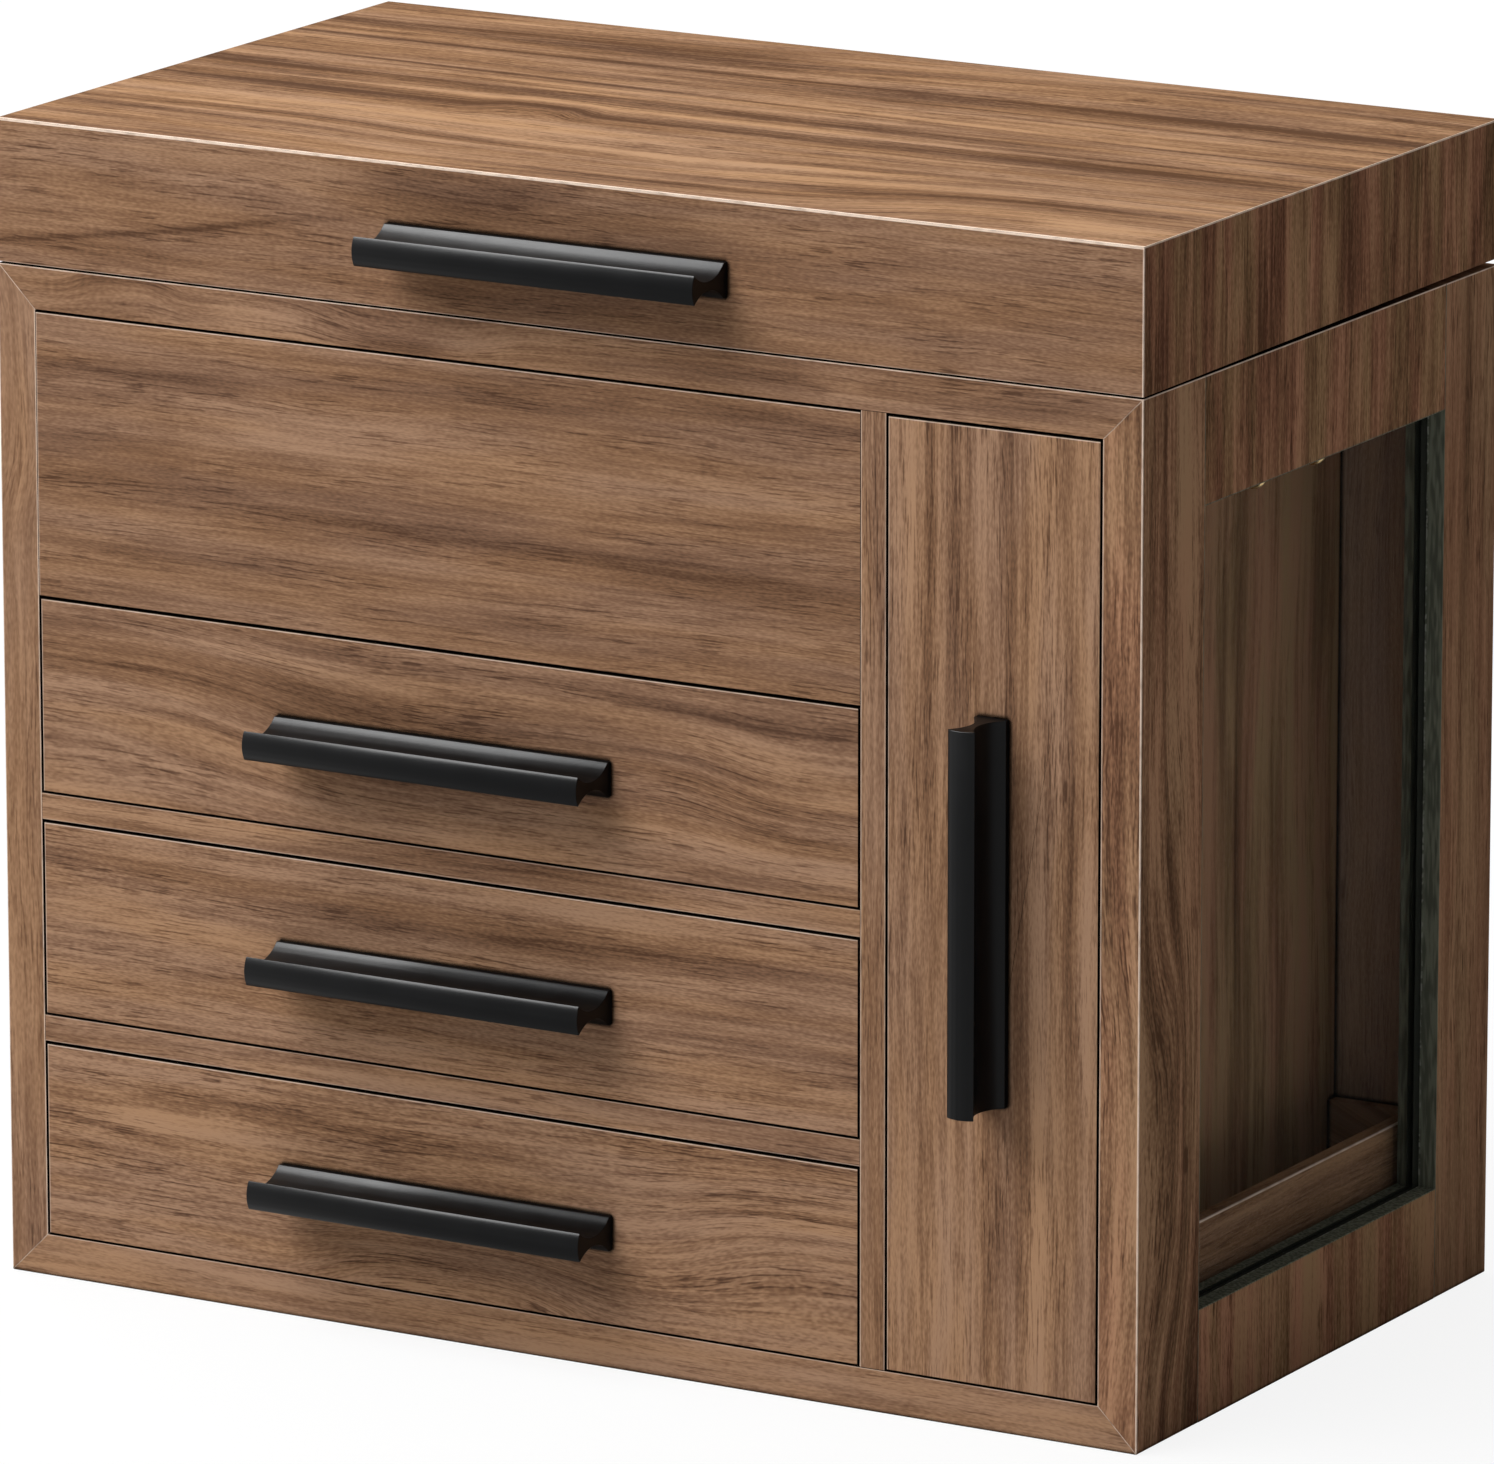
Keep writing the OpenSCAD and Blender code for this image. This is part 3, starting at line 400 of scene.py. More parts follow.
def black_pull():
    finish = Finish("black_pull", Roughness=0.3, Specular_IOR_Level=0.12)
    grains = finish.noise([f / 0.4 for f in finish.place], 2.0)
    cloud = finish.noise([f / 9 for f in finish.place], 2.0)
    worn = tuple(c * 1.35 for c in PULL_BLACK)
    finish.drive("Base Color", finish.mix(cloud.rise(0.3, 0.7), PULL_BLACK, worn))
    finish.drive("Roughness", cloud * 0.1 + 0.30)
    finish.bump(grains, 0.004)
    return finish.material


def metal(name, colour, roughness, brushed):
    """Metal with fine lines that run along one axis."""
    finish = Finish(name, Metallic=1.0, Roughness=roughness)
    stretch = [0.5, 0.5, 0.5]
    stretch[AXES[brushed]] = 12
    lines = finish.noise([f / s for f, s in zip(finish.place, stretch)], 3.0)
    stain = finish.noise([f / 6 for f in finish.place], 2.0)
    dull = tuple(c * 0.72 for c in colour)
    finish.drive("Base Color", finish.mix(stain.rise(0.35, 0.7), colour, dull))
    finish.drive("Roughness", lines * 0.2 + (roughness - 0.1))
    finish.bump(lines, 0.01)
    return finish.material


def velvet():
    finish = Finish(
        "velvet", Roughness=0.95, Specular_IOR_Level=0.1, Sheen_Weight=0.45, Sheen_Roughness=0.4)
    nap = finish.noise([f / 0.22 for f in finish.place], 2.0)
    brushed = finish.noise([f / s for f, s in zip(finish.place, (7, 11, 5))], 3.0)
    level = brushed * 0.7 + nap * 0.5
    finish.drive("Base Color", finish.mix(level.rise(0.4, 0.8), VELVET_DEEP, VELVET))
    finish.drive("Roughness", nap * 0.1 + 0.88)
    finish.bump(nap, 0.09)
    return finish.material


def window_glass():
    """Clear glass, with an opaque dark band of painted shade along its rear and lower edges, where it
    meets its groove.
    """
    finish = Finish("window_glass", Roughness=0.03, Specular_IOR_Level=0.03)
    low, high = (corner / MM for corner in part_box("window_pane"))
    behind = (finish.place[1] - (high[1] - SHADE_BAND_BEHIND)).rise(-0.15, 0.15)
    below = (finish.place[2] - (low[2] + SHADE_BAND_BELOW)).rise(0.15, -0.15)
    shade_band = behind.math("MAXIMUM", below)
    smear = finish.noise([f / 30 for f in finish.place], 3.0)
    finish.drive("Base Color", finish.mix(shade_band, PANE, PANE_SHADE_BAND))
    finish.drive("Alpha", shade_band * 0.85 + 0.05)
    finish.drive("Roughness", smear.rise(0.5, 0.9) * 0.05 + 0.02)
    return finish.material


def silvered_glass():
    finish = Finish("silvered_glass", Base_Color=(*MIRROR, 1), Metallic=1.0, Roughness=0.02)
    smear = finish.noise([f / 40 for f in finish.place], 3.0)
    finish.drive("Roughness", smear.rise(0.45, 0.9) * 0.03 + 0.01)
    return finish.material


def rubber():
    finish = Finish("rubber", Roughness=0.7)
    speck = finish.noise([f / 0.5 for f in finish.place], 2.0)
    dull = tuple(c * 0.8 for c in RUBBER)
    finish.drive("Base Color", finish.mix(speck.rise(0.3, 0.7), RUBBER, dull))
    finish.bump(speck, 0.02)
    return finish.material


def weld(piece):
    """Joins the split vertices that a CAD mesh comes with."""
    piece.modifiers.new("weld", "WELD").merge_threshold = 1e-6


def dress(node, material, ease=0.0):
    """Gives a CAD node its finish, and eases its sharp edges by some millimetres."""
    piece = nodes[node]
    piece.data.materials.clear()
    piece.data.materials.append(material)
    if ease:
        weld(piece)
        bevel = piece.modifiers.new("ease", "BEVEL")
        bevel.width = ease * MM
        bevel.segments = 2
        bevel.limit_method = "ANGLE"
        bevel.angle_limit = math.radians(35)
        bevel.use_clamp_overlap = False
        bevel.harden_normals = True


# Soft pieces

# Each kind of padded board: its rounding, the step of its mesh and its crown, in millimetres
LINED_BOARD = (0.55, 5)
LINED_FLOOR = (0.7, 5, 0.25)
PARTITION = (1.3, 4)
NECKLACE_PAD = (0.7, 4, 0.2)

# What is lower than this in a lining is its floor, in millimetres
FLOOR_THICKNESS = 3

# The unevenness of a padded face, and how long its waves are, in millimetres
SLACK = 0.08
SLACK_WAVE = 6

# The ring rolls: how much smaller they start, how far they may swell and the size of their mesh
ROLL_SHRINK = 0.45
ROLL_SWELL = 1.1
ROLL_VOXEL = 1.7
ROLL_FRAMES = 14


def loose_boxes(node):
    """The box of each separate solid of a CAD node, in millimetres."""
    mesh = nodes[node].data
    parent = {}

    def root(k):
        while parent[k] != k:
            parent[k] = parent[parent[k]]
            k = parent[k]
        return k

    keys = [tuple(round(c / MM, 3) for c in vertex.co) for vertex in mesh.vertices]
    for key in keys:
        parent[key] = key
    for polygon in mesh.polygons:
        first = root(keys[polygon.vertices[0]])
        for index in polygon.vertices[1:]:
            parent[root(keys[index])] = first
    groups = {}
    for key in parent:
        groups.setdefault(root(key), []).append(key)
    boxes = []
    for points in groups.values():
        low = Vector(min(p[i] for p in points) for i in range(3))
        high = Vector(max(p[i] for p in points) for i in range(3))
        boxes.append((low, high))
    return sorted(boxes, key=lambda box: tuple(box[0]) + tuple(box[1]))


def stops(length, radius, step):
    """Places along an edge: close together in the rounding, then about a step apart."""
    inner = length - 2 * radius
    count = max(1, round(inner / step))
    middle = [radius + inner * k / count for k in range(count + 1)]
    ends = [radius * (1 - math.cos(math.radians(a))) for a in (0, 30, 60)]
    return ends + middle + [length - e for e in reversed(ends)]


def soft_box(low, high, radius, step, crown=0.0):
    """Vertices and faces of a padded board: round edges, a crown on top, and a slightly
    uneven surface."""
    size = high - low
    radius = min(radius, min(size) * 0.49)
    places = [stops(size[i], radius, step) for i in range(3)]
    last = [len(p) - 1 for p in places]
    vertices = []
    index = {}

    def corner(key):
        if key not in index:
            point = Vector(places[i][key[i]] for i in range(3))
            core = Vector(min(max(point[i], radius), size[i] - radius) for i in range(3))
            out = (point - core).normalized()
            point = core + out * radius
            share = [1 - abs(2 * point[i] / size[i] - 1) ** 4 for i in range(3)]
            point.z += crown * share[0] * share[1] * (point.z / size.z)
            point += out * SLACK * noise.noise((low + point) / SLACK_WAVE)
            index[key] = len(vertices)
            vertices.append((low + point) * MM)
        return index[key]

    faces = []
    for axis in range(3):
        a, b = [i for i in range(3) if i != axis]
        for side in (0, last[axis]):
            for i in range(last[a]):
                for j in range(last[b]):
                    quad = []
                    for di, dj in ((0, 0), (1, 0), (1, 1), (0, 1)):
                        key = [0, 0, 0]
                        key[axis], key[a], key[b] = side, i + di, j + dj
                        quad.append(corner(tuple(key)))
                    flip = (side == 0) != (axis == 1)
                    faces.append(tuple(reversed(quad)) if flip else tuple(quad))
    return vertices, faces


def padded_boards(name, boxes, shape, material, body):
    """One object of padded boards, each in the place of a box."""
    vertices = []
    faces = []
    for box in boxes:
        board_vertices, board_faces = soft_box(*box, *shape)
        start = len(vertices)
        vertices += board_vertices
        faces += [tuple(start + i for i in face) for face in board_faces]
    mesh = bpy.data.meshes.new(name)
    mesh.from_pydata(vertices, [], faces)
    mesh.shade_smooth()
    mesh.materials.append(material)
    piece = bpy.data.objects.new(name, mesh)
    bpy.context.scene.collection.objects.link(piece)
    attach(piece, body)
    return piece


def line_with_velvet(node, body, material):
    """A lining: four covered boards and a padded floor."""
    boxes = loose_boxes(node)
    floor = [box for box in boxes if box[1].z - box[0].z < FLOOR_THICKNESS]
    walls = [box for box in boxes if box not in floor]
    boards = padded_boards(node + "_boards", walls, LINED_BOARD, material, body)
    pad = padded_boards(node + "_pad", floor, LINED_FLOOR, material, body)
    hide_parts(node)
    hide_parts(node)


def cover_partitions(node, body, material):
    cover = padded_boards(node + "_velvet", loose_boxes(node), PARTITION, material, body)
    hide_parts(node)


def cover_pads(node, body, material):
    cover = padded_boards(node + "_velvet", loose_boxes(node), NECKLACE_PAD, material, body)
    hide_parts(node)


def ring_rolls(node, body, material):
    """Foam rolls under velvet: the cover swells from a shape a little too small."""
    mesh = nodes[node].data.copy()
    mesh.name = "ring_rolls"
    piece = bpy.data.objects.new("ring_rolls", mesh)
    bpy.context.scene.collection.objects.link(piece)
    piece.data.materials.clear()
    weld(piece)
    remesh = piece.modifiers.new("remesh", "REMESH")
    remesh.mode = "VOXEL"
    remesh.voxel_size = ROLL_VOXEL * MM
    apply_modifiers(piece)
    normals = [vertex.normal.copy() for vertex in piece.data.vertices]
    for vertex, normal in zip(piece.data.vertices, normals):
        vertex.co -= normal * ROLL_SHRINK * MM
    swell(piece, ROLL_FRAMES, ROLL_SWELL * MM)
    smooth = piece.modifiers.new("round", "SUBSURF")
    smooth.levels = 1
    smooth.render_levels = 1
    apply_modifiers(piece)
    piece.data.shade_smooth()
    piece.data.materials.append(material)
    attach(piece, body)
    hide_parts(node)


def apply_modifiers(piece):
    """Puts the mesh with its modifiers in the place of the plain one."""
    graph = bpy.context.evaluated_depsgraph_get()
    mesh = bpy.data.meshes.new_from_object(piece.evaluated_get(graph))
    piece.modifiers.clear()
    piece.data = mesh


def swell(piece, frames, cap):
    """Blows a closed cover up a little as cloth, with every point held within a cap."""
    before = [vertex.co.copy() for vertex in piece.data.vertices]
    cloth = piece.modifiers.new("cloth", "CLOTH")
    cloth.settings.quality = 4
    cloth.settings.use_pressure = True
    cloth.settings.uniform_pressure_force = 4
    cloth.settings.tension_stiffness = 12
    cloth.settings.compression_stiffness = 4
    cloth.settings.bending_stiffness = 0.4
    cloth.settings.effector_weights.gravity = 0
    cloth.point_cache.frame_start = 1
    cloth.point_cache.frame_end = frames
    scene = bpy.context.scene
    for step in range(1, frames + 1):
        scene.frame_set(step)
    apply_modifiers(piece)
    scene.frame_set(1)
    for vertex, rest in zip(piece.data.vertices, before):
        move = vertex.co - rest
        if move.length > cap:
            vertex.co = rest + move.normalized() * cap


# Stage, lamps and camera

def looked_at(tree):
    """1 where the camera sees a surface, also in a mirror or through glass, and 0 for light."""
    path = tree.nodes.new("ShaderNodeLightPath")
    seen = Field(tree, path.outputs["Is Camera Ray"])
    for way in ("Is Glossy Ray", "Is Transmission Ray"):
        seen = seen.math("MAXIMUM", Field(tree, path.outputs[way]))
    return seen


def diffuse(tree, colour):
    node = tree.nodes.new("ShaderNodeBsdfDiffuse")
    feed(tree, node.inputs["Color"], colour)
    return node.outputs[0]


def mix_shaders(tree, factor, first, second):
    node = tree.nodes.new("ShaderNodeMixShader")
    feed(tree, node.inputs[0], factor)
    tree.links.new(first, node.inputs[1])
    tree.links.new(second, node.inputs[2])
    return node.outputs[0]


def paper_floor():
    """A pale floor that looks white where nothing shades it."""
    bpy.ops.mesh.primitive_grid_add(size=24, x_subdivisions=8, y_subdivisions=8)
    floor = bpy.context.object
    floor.name = "floor"
    floor.location.z = cad_box[0].z - FLOOR_GAP * MM
    material = bpy.data.materials.new("floor_paper")
    material.use_nodes = True
    tree = material.node_tree
    tree.nodes.clear()
    glow = tree.nodes.new("ShaderNodeEmission").outputs[0]
    seen = mix_shaders(tree, FLOOR_GLOW, diffuse(tree, FLOOR_SEEN), glow)
    paper = mix_shaders(tree, looked_at(tree), diffuse(tree, FLOOR_LIT), seen)
    out = tree.nodes.new("ShaderNodeOutputMaterial")
    tree.links.new(paper, out.inputs[0])
    floor.data.materials.append(material)


def lamp(name, direction, distance, size, level, shine=True, shade=True):
    """A square soft box that lights a surface facing it to the given level. Without shine
    it stays out of reflections, and without shade it shows in them only."""
    middle = (cad_box[0] + cad_box[1]) / 2
    data = bpy.data.lights.new(name, "AREA")
    data.size = size
    data.energy = math.pi ** 2 * distance ** 2 * level
    light = bpy.data.objects.new(name, data)
    light.visible_glossy = shine
    light.visible_diffuse = shade
    toward = Vector(direction).normalized()
    light.location = middle + toward * distance
    light.rotation_mode = "QUATERNION"
    light.rotation_quaternion = toward.to_track_quat("Z", "Y")
    bpy.context.scene.collection.objects.link(light)


def soft_room(level):
    """An even room that looks white, and is softer as a light."""
    world = bpy.data.worlds.new("room")
    bpy.context.scene.world = world
    world.use_nodes = True
    tree = world.node_tree
    background = tree.nodes["Background"]
    feed(tree, background.inputs["Color"], WHITE)
    strength = looked_at(tree) * (1 - level) + level
    tree.links.new(strength.socket, background.inputs["Strength"])


def camera():
    data = bpy.data.cameras.new("camera")
    data.lens = CAMERA_LENS
    data.sensor_width = SENSOR_WIDTH
    eye = bpy.data.objects.new("camera", data)
    azimuth = math.radians(CAMERA_AZIMUTH)
    elevation = math.radians(CAMERA_ELEVATION)
    back = Vector((
        math.sin(azimuth) * math.cos(elevation),
        -math.cos(azimuth) * math.cos(elevation),
        math.sin(elevation),
    ))
    eye.location = CAMERA_PLACE
    eye.rotation_mode = "QUATERNION"
    roll = Matrix.Rotation(math.radians(CAMERA_ROLL), 4, "Z").to_quaternion()
    eye.rotation_quaternion = back.to_track_quat("Z", "Y") @ roll
    bpy.context.scene.collection.objects.link(eye)
    bpy.context.scene.camera = eye


paper_floor()
soft_room(level=0.20)
lamp("key", (-0.36, -0.55, 0.80), distance=2.2, size=1.8, level=1.22, shine=False)
lamp("overhead", (-0.52, 0.10, 0.84), distance=2.2, size=1.8, level=0.52, shine=False)
lamp("sheen", (-0.50, -0.20, 0.84), distance=2.2, size=2.4, level=9.0, shade=False)
lamp("rear_fill", (-0.45, 0.85, 0.35), distance=2.4, size=1.4, level=0.40, shine=False)
camera()
bpy.context.scene.view_settings.view_transform = "Standard"

# The pale lines where two boards meet in a mitre on the front
SEAM = 0.16
UPPER_LEFT = (1, 1, case_size.z, SEAM)
UPPER_RIGHT = (1, -1, case_size.x - case_size.z, SEAM)
LOWER_LEFT = (1, -1, 0, SEAM)
LOWER_RIGHT = (1, 1, case_size.x, SEAM)

# The painted shade of the gap round a drawer front, with the pale end of its veneer beside it
FRONT_EDGES = [
    ("z+", "y-", 0.44, 0.65), ("x-", "y-", 0.34, 0.4), ("z+", "y-", 0.19, -1.0),
    ("z-", "y-", 0.18, -1.0), ("x-", "y-", 0.14, -1.0), ("x+", "y-", 0.14, -1.0),
]
# The pale ends of a shelf's veneer, and the painted shade of the gaps above and below it
SHELF_EDGES = [
    ("z+", "y-", 0.36, 0.35), ("z-", "y-", 0.32, 0.3),
    ("z+", "y-", 0.16, -1.0), ("z-", "y-", 0.14, -1.0),
]

# Each board: its grain, its figure, and where the edge of the veneer shows
BOARDS = {
    "lid_top": dict(
        grain="x", across="y", seed=1.3, contrast=1.15, figure=1.5, pores=1.3, tint=TAN,
        lifts=[(285, 8, 62, 34, 22), (135, 30, 55, 22, -6), (102, 71, 13, 9, 6), (300, 158, 190, 22, 14)],
        streaks=[
            (40, 147, 90, 5, 0.45, 0), (180, 142, 130, 5, 0.33, 0.03), (110, 129.5, 260, 1.3, 0.6, 0),
            (230, 127, 110, 4, 0.42, 0), (240, 120, 120, 1.2, 0.33, 0),
            (110, 104, 260, 1.0, 0.63, -0.03), (110, 88, 200, 4, 0.42, -0.02),
            (120, 79, 200, 1.4, -0.33, 0), (110, 70, 150, 4, 0.51, 0), (230, 74, 90, 5, 0.3, 0),
            (90, 53, 130, 6, -0.36, 0), (110, 42, 170, 2, -0.51, 0), (90, 33, 120, 1.2, -0.38, 0),
            (60, 27, 80, 3, 0.39, 0), (110, 12, 100, 6, 0.24, 0), (245, 16, 42, 6, 0.54, 0),
            (285, -9, 18, 5, -0.6, 0), (215, 104, 60, 6, -0.15, 0),
        ],
        edges=[("z+", "y-", 0.9, 1.0), ("z+", "x+", 0.3, 0.8)],
    ),
    "lid_front": dict(
        grain="x", across="z", seed=2.1, tone=-0.01, contrast=0.32, figure=1.5, pores=1.25,
        lifts=[(25, 268, 85, 12, 3)],
        streaks=[
            (45, 252.6, 52, 0.8, 0.45, 0.14), (38, 269, 55, 6, -0.16, 0), (124, 268, 26, 6, 0.34, 0),
            (165, 262, 50, 8, 0.16, 0), (130, 247, 60, 3, 0.14, 0), (25, 247, 30, 2, 0.2, 0),
            (205, 268, 20, 3, -0.18, 0), (265, 270, 40, 3, -0.12, 0), (250, 256, 60, 5, 0.06, 0),
        ],
        edges=[("z+", "y-", 0.55, 1.0), ("x+", "y-", 0.35, 0.8), ("z-", "y-", 0.2, 0.4)],
    ),
    "lid_rear": dict(grain="x", across="z", seed=3.7, edges=[("z+", "y+", 0.4, 0.75)]),
    "lid_left": dict(grain="z", across="y", seed=4.2, edges=[("z+", "x-", 0.4, 0.75)]),
    "lid_right": dict(
        grain="z", across="y", seed=5.9, tone=-0.04, contrast=1.4, figure=2, pores=1.5, tint=WARM,
        hues=CLEAR_HUES,
        streaks=[
            (260, 58, 60, 5, 0.2, 0), (260, 83, 60, 4, 0.18, 0), (260, 98, 60, 3, 0.18, 0),
            (260, 128, 60, 5, 0.16, 0), (262, 165, 20, 1.5, 0.3, 0.35), (260, 45, 60, 5, -0.16, 0),
            (260, 73, 60, 3, -0.18, 0), (260, 110, 60, 4, -0.16, 0), (260, 8, 60, 6, 0.1, 0),
        ],
        edges=[("z+", "x+", 0.35, 0.75), ("y-", "x+", 0.3, 0.9)],
    ),
    "left_side": dict(
        grain="z", across="y", seed=6.4, tone=0.12, contrast=0.6, figure=3, slant=0.8,
        lifts=[(215, 0, 30, 60, 4)],
        edges=[("x+", "y-", 0.3, 0.6), ("x-", "y-", 0.25, 0.6)],
        seams=[UPPER_LEFT, LOWER_LEFT],
    ),
    "right_stiles": dict(
        grain="z", across="y", seed=7.7, tone=0.01, contrast=1.5, figure=2, pores=1.6, tint=SOFT_WARM,
        hues=MILD_HUES, slant=0.8, calm=("y", 100, 140),
        lifts=[(63, 13, 45, 14, 7), (95, 20, 60, 9, 5)],
        streaks=[
            (150, 11, 220, 1.2, 0.26, 0), (63, 13, 3, 1.6, 0.75, 0), (90, 21, 45, 0.7, 0.35, 0.1),
            (150, 20, 110, 5, -0.34, 0), (60, 5, 120, 2.5, -0.1, 0), (160, 151, 110, 3, -0.18, 0),
            (200, 158, 60, 2, 0.16, 0), (90, 160, 80, 3, 0.1, 0), (120, 27.5, 200, 0.5, 0.25, 0),
        ],
        edges=[("x-", "y-", 0.3, 0.45), ("x+", "y-", 0.35, 0.8), ("x+", "z+", 0.3, 0.9)],
        seams=[UPPER_RIGHT, LOWER_RIGHT],
        jambs=[("y", WINDOW_FRONT), ("y", WINDOW_REAR)],
    ),
    "right_rails": dict(
        grain="z", across="y", seed=8.3, tone=0.03, contrast=1.15, figure=2, pores=1.5, tint=WARM,
        hues=CLEAR_HUES,
        # The first two streaks are painted light: they darken the upper rail and lighten the lower one,
        # to even out how light falls on the side
        streaks=[
            (225, 85, 30, 90, 0.12, 0), (13, 85, 30, 90, -0.24, 0), (225, 51, 60, 3, 0.24, 0),
            (225, 38, 60, 2, 0.14, 0), (225, 82, 60, 6, -0.16, 0), (225, 128, 60, 4, 0.22, 0),
            (13, 60, 60, 6, 0.16, 0), (13, 80, 60, 4, -0.2, 0), (13, 103, 60, 4, 0.22, 0),
            (13, 120, 60, 4, 0.14, 0), (13, 140, 60, 4, -0.1, 0),
        ],
        edges=[("x+", "z+", 0.3, 0.9)],
        jambs=[("z", WINDOW_LOW), ("z", WINDOW_HIGH)],
    ),
    "top_board": dict(
        grain="x", across="z", seed=9.1, tone=0.02, contrast=0.8, figure=2.5, pores=1.2,
        lifts=[(34, 241, 14, 7, 3), (112, 236, 24, 6, -3)],
        streaks=[
            (34, 238, 12, 1.6, 0.4, 0), (70, 236, 14, 4, -0.24, 0), (107, 235.5, 11, 3, 0.34, 0),
            (130, 236, 10, 3, -0.22, 0), (200, 236, 24, 4, 0.18, 0), (222, 236, 8, 4, -0.2, 0),
            (275, 236, 20, 4, 0.14, 0), (20, 236, 10, 4, 0.12, 0),
        ],
        edges=[("z+", "y-", 0.3, 0.6), ("z-", "y-", 0.1, -1.0)],
        seams=[UPPER_LEFT, UPPER_RIGHT],
    ),
    "bottom_board": dict(
        grain="x", across="z", seed=10.6, tone=0.22, contrast=0.85, figure=2, pores=1.2,
        edges=[("z+", "y-", 0.3, 0.5), ("z+", "y-", 0.12, -1.0)],
        seams=[LOWER_LEFT, LOWER_RIGHT],
    ),
    "back_board": dict(grain="z", across="x", seed=11.2, tone=0.09, contrast=0.4, pores=0.7, inner=PLUM),
    "divider": dict(
        grain="z", across="x", seed=12.5, tone=0.03, contrast=0.7, figure=1, pores=1.2, slant=0.8,
        edges=[("x-", "y-", 0.3, 0.45), ("x+", "y-", 0.3, 0.3)],
    ),
    "upper_shelf": dict(
        grain="x", across="z", seed=13.9, tone=0.04, figure=1.5, pores=1.2, edges=SHELF_EDGES,
        streaks=[(40, 114, 30, 1.2, -0.26, 0), (60, 112, 40, 0.8, 0.22, 0), (140, 113, 40, 3, 0.1, 0)],
    ),
    "lower_shelf": dict(
        grain="x", across="z", seed=14.4, tone=0.08, figure=1.5, pores=1.2, edges=SHELF_EDGES,
        streaks=[(40, 59, 26, 2.5, -0.22, 0), (90, 61, 30, 1.5, 0.14, 0), (190, 60, 30, 3, 0.12, 0)],
    ),
    # The tones of the fronts and the door rise from fixed_front down to bottom_board: painted light that
    # makes the lower fronts lighter
    "fixed_front": dict(
        grain="x", across="z", seed=15.8, tone=-0.03, contrast=0.5, figure=2, pores=1.15,
        edges=FRONT_EDGES,
        streaks=[
            (35, 218, 34, 2.0, 0.34, 0), (115, 222, 60, 2.2, 0.26, 0.02), (212, 226, 28, 2.6, 0.36, 0),
            (150, 207, 110, 4.0, -0.24, 0), (200, 201.5, 40, 0.9, 0.26, 0.06),
            (25, 201, 26, 4, 0.22, 0), (60, 195, 60, 4, 0.14, 0), (140, 190, 70, 3.2, 0.3, 0),
            (205, 187, 40, 3.6, 0.3, 0), (60, 184, 60, 2.4, -0.14, 0), (45, 177, 36, 1.2, 0.2, 0),
            (60, 170, 60, 4, -0.1, 0), (90, 212, 40, 1.8, -0.18, 0), (180, 171, 60, 5, 0.06, 0),
            (70, 229, 70, 2.0, -0.12, 0),
        ],
    ),
    "compartment_floor": dict(grain="x", across="y", seed=16.1, tone=-0.08),
    "upper_drawer_front": dict(
        grain="x", across="z", seed=17.6, tone=0.01, contrast=0.75, figure=2, pores=1.25,
        edges=FRONT_EDGES,
        lifts=[(0, 140, 75, 22, 10), (228, 140, 36, 16, -5)],
        streaks=[
            (22, 152, 20, 1.4, 0.3, 0), (40, 141, 40, 1.4, 0.26, 0), (70, 131, 60, 1.1, 0.24, 0),
            (80, 154, 34, 2.6, -0.24, 0), (108, 146, 34, 3.6, 0.34, 0), (150, 158, 80, 1.2, 0.2, 0),
            (205, 152, 26, 3.4, -0.26, 0), (200, 157, 32, 0.9, 0.34, 0), (190, 146, 30, 1.2, 0.22, 0),
            (190, 127, 60, 3, -0.2, 0), (60, 122, 60, 3, -0.16, 0), (196, 134, 32, 1.2, 0.3, 0),
        ],
    ),
    "middle_drawer_front": dict(
        grain="x", across="z", seed=18.2, tone=0.11, contrast=0.7, figure=1.5, pores=1.4,
        edges=FRONT_EDGES,
        streaks=[
            (40, 101.5, 50, 2.6, 0.28, 0), (120, 97, 44, 4.0, 0.32, 0), (195, 99.5, 44, 2.6, 0.28, 0),
            (120, 106, 110, 1.8, -0.14, 0), (200, 92, 40, 2.6, -0.16, 0), (40, 88, 30, 4, -0.1, 0),
            (120, 72, 100, 5, -0.14, 0), (180, 82, 60, 1.1, 0.18, 0), (60, 78, 50, 1.0, 0.14, 0),
        ],
    ),
    "lower_drawer_front": dict(
        grain="x", across="z", seed=19.5, tone=0.13, contrast=0.5, figure=2, pores=1.6,
        edges=FRONT_EDGES,
        lifts=[(232, 34, 46, 14, 8), (120, 12, 34, 12, 7)],
        streaks=[
            (105, 47, 46, 4.0, 0.3, 0), (25, 38, 22, 1.2, 0.34, -0.1), (48, 41, 24, 3.4, -0.2, 0),
            (205, 42, 30, 1.0, 0.34, 0), (210, 37, 26, 0.9, 0.34, 0), (210, 30, 30, 0.9, 0.26, 0),
            (205, 34, 26, 3.0, -0.2, 0), (118, 17, 28, 1.6, -0.22, 0), (112, 12, 26, 1.4, 0.2, 0),
            (40, 20, 40, 4, -0.12, 0), (190, 20, 40, 3, 0.12, 0), (40, 52, 40, 2, -0.12, 0),
        ],
    ),
    "pull_out_front": dict(
        grain="z", across="x", seed=20.7, tone=0.12, contrast=0.95, figure=1.2, pores=1.35,
        edges=FRONT_EDGES,
        streaks=[
            (190, 240, 80, 2.2, -0.21, 0), (200, 246, 50, 1.6, 0.28, 0), (200, 253, 44, 2.2, 0.28, 0),
            (215, 259, 34, 1.6, -0.28, 0), (200, 266.5, 60, 1.5, 0.3, 0),
            (120, 274, 150, 2.2, -0.23, 0), (150, 282, 160, 1.6, 0.3, 0),
            (130, 287, 200, 1.4, -0.21, 0), (95, 270, 70, 2.6, 0.3, 0), (60, 251, 60, 4.0, -0.23, 0),
            (110, 244, 70, 1.0, 0.18, 0), (40, 262, 40, 2.0, 0.18, 0),
        ],
    ),
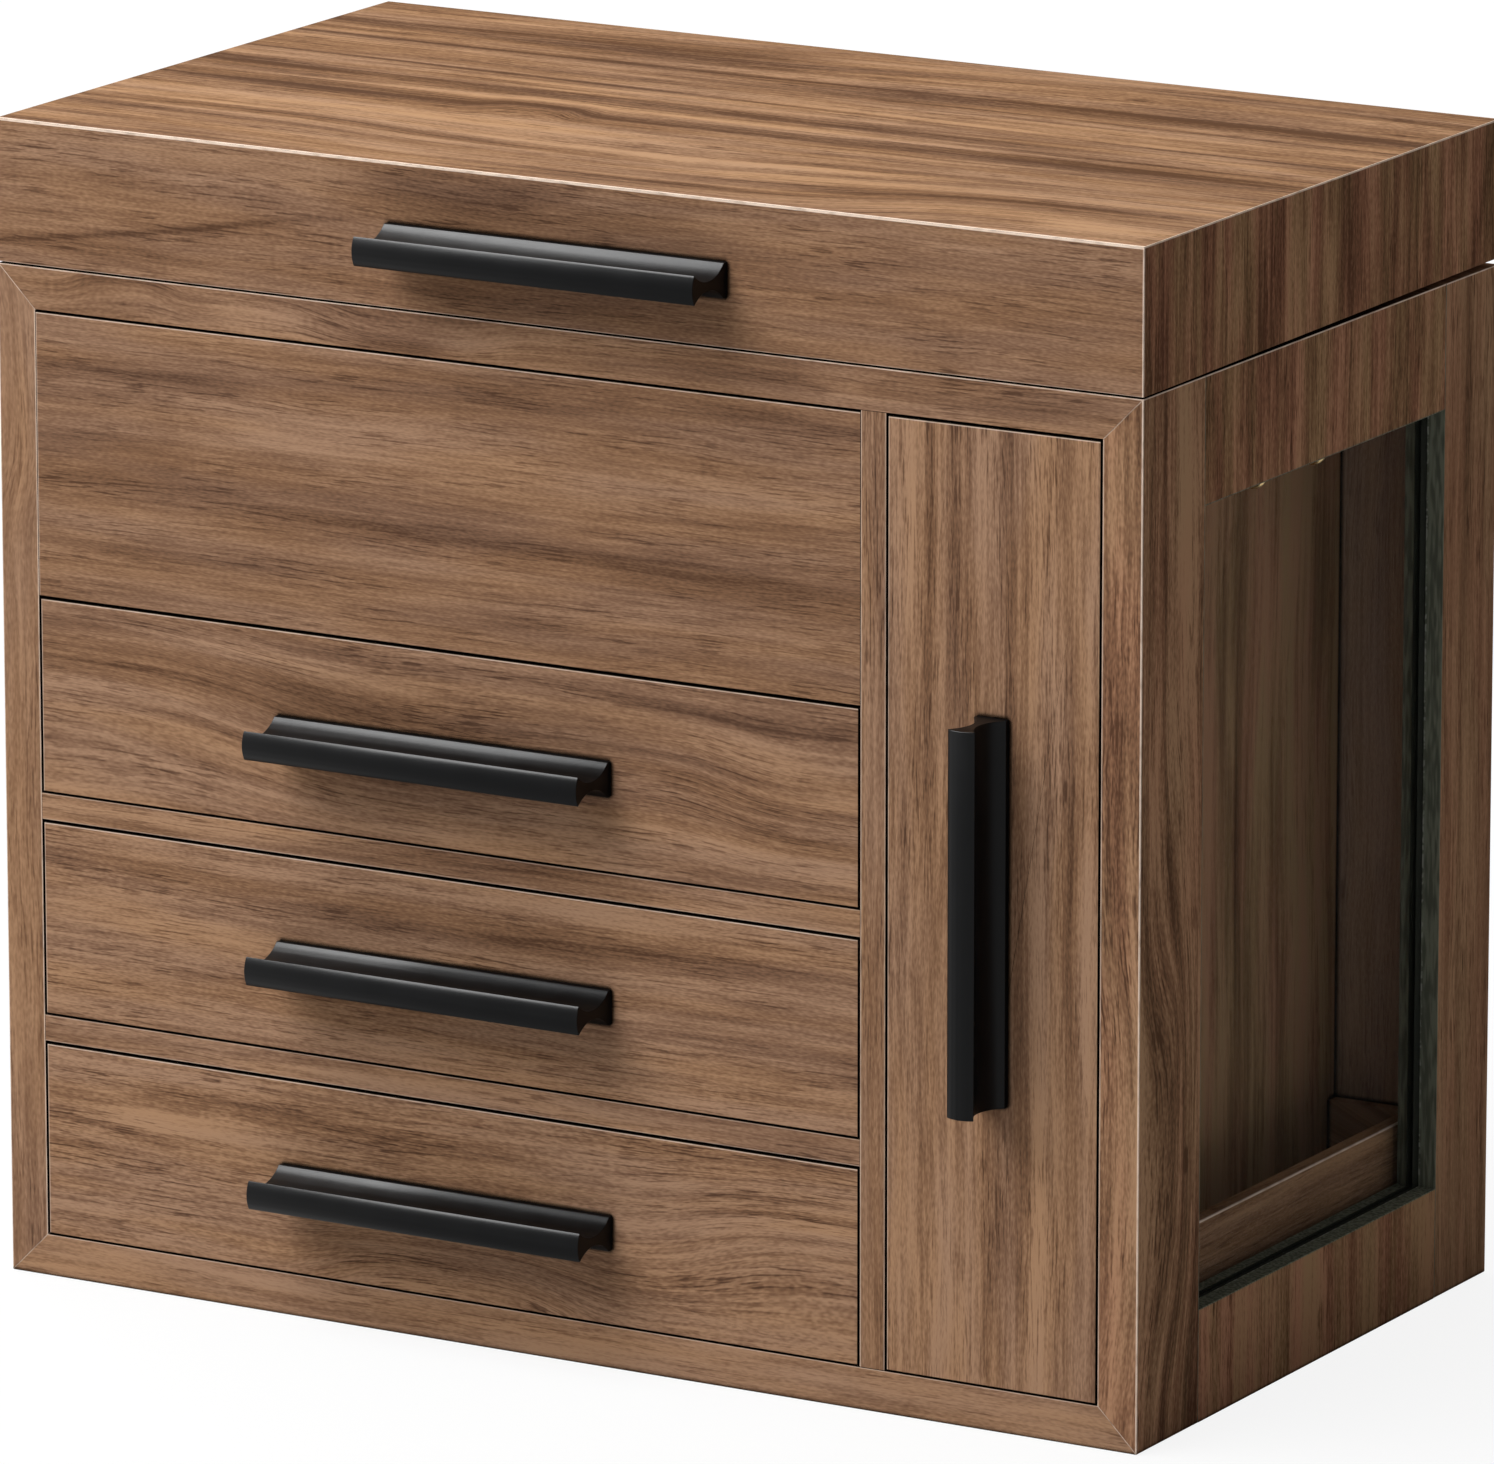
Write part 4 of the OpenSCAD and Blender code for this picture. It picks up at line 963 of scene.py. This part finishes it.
    "pull_out_base": dict(grain="y", across="x", seed=21.3),
    "pull_out_lips": dict(
        grain="y", across="z", seed=22.8, tone=0.12, figure=4, tint=TAN,
        edges=[("z+", "x+", 0.4, 1.0)],
    ),
    # Its high tone is painted light: it makes the spine lighter for the little light that reaches it
    # through the window
    "pull_out_spine": dict(
        grain="z", across="y", seed=23.4, tone=0.29, contrast=1.6, figure=5, pores=0.75, tint=TAN,
        hues=CLEAR_HUES,
        lifts=[(90, 60, 60, 30, 8)],
        streaks=[
            (160, 40, 90, 3, 0.36, 0), (160, 60, 90, 4, -0.28, 0), (150, 75, 110, 5, 0.28, 0),
            (120, 90, 120, 6, -0.14, 0), (140, 110, 120, 7, 0.31, 0),
        ],
    ),
    "pull_out_top": dict(grain="y", across="x", seed=24.9),
    "mirror_frame": dict(grain="x", across="y", seed=25.2, figure=2),
    "upper_drawer_walls": dict(grain="y", across="z", seed=26.1, tone=-0.06),
    "middle_drawer_walls": dict(grain="y", across="z", seed=27.5, tone=-0.06),
    "lower_drawer_walls": dict(grain="y", across="z", seed=28.9, tone=-0.06),
    "upper_drawer_bottom": dict(grain="x", across="y", seed=29.2, tone=-0.06),
    "middle_drawer_bottom": dict(grain="x", across="y", seed=30.3, tone=-0.06),
    "lower_drawer_bottom": dict(grain="x", across="y", seed=31.7, tone=-0.06),
}
for node, veneer in BOARDS.items():
    dress(node, walnut(node, **veneer), ease=0.13)

black = black_pull()
brass = metal("brass", BRASS, 0.28, "x")
steel = metal("steel", STEEL, 0.32, "z")
cloth_finish = velvet()
for node in nodes:
    if node.endswith("_pull"):
        dress(node, black, ease=0.15)
    if node.endswith("_screws") or node == "hinge_pins":
        dress(node, steel, ease=0.06)
    if node in ("case_hinge_leaves", "lid_hinge_leaves", "necklace_hooks"):
        dress(node, brass)
dress("window_pane", window_glass())
dress("mirror_glass", silvered_glass())
dress("lid_bumpers", rubber(), ease=0.2)

line_with_velvet("compartment_lining", "case", cloth_finish)
for drawer in ("upper_drawer", "middle_drawer", "lower_drawer"):
    line_with_velvet(drawer + "_lining", drawer, cloth_finish)
cover_partitions("compartment_partitions", "case", cloth_finish)
cover_partitions("upper_drawer_partitions", "upper_drawer", cloth_finish)
cover_partitions("middle_drawer_partitions", "middle_drawer", cloth_finish)
cover_pads("pull_out_pads", "pull_out", cloth_finish)
ring_rolls("upper_drawer_ring_rolls", "upper_drawer", cloth_finish)
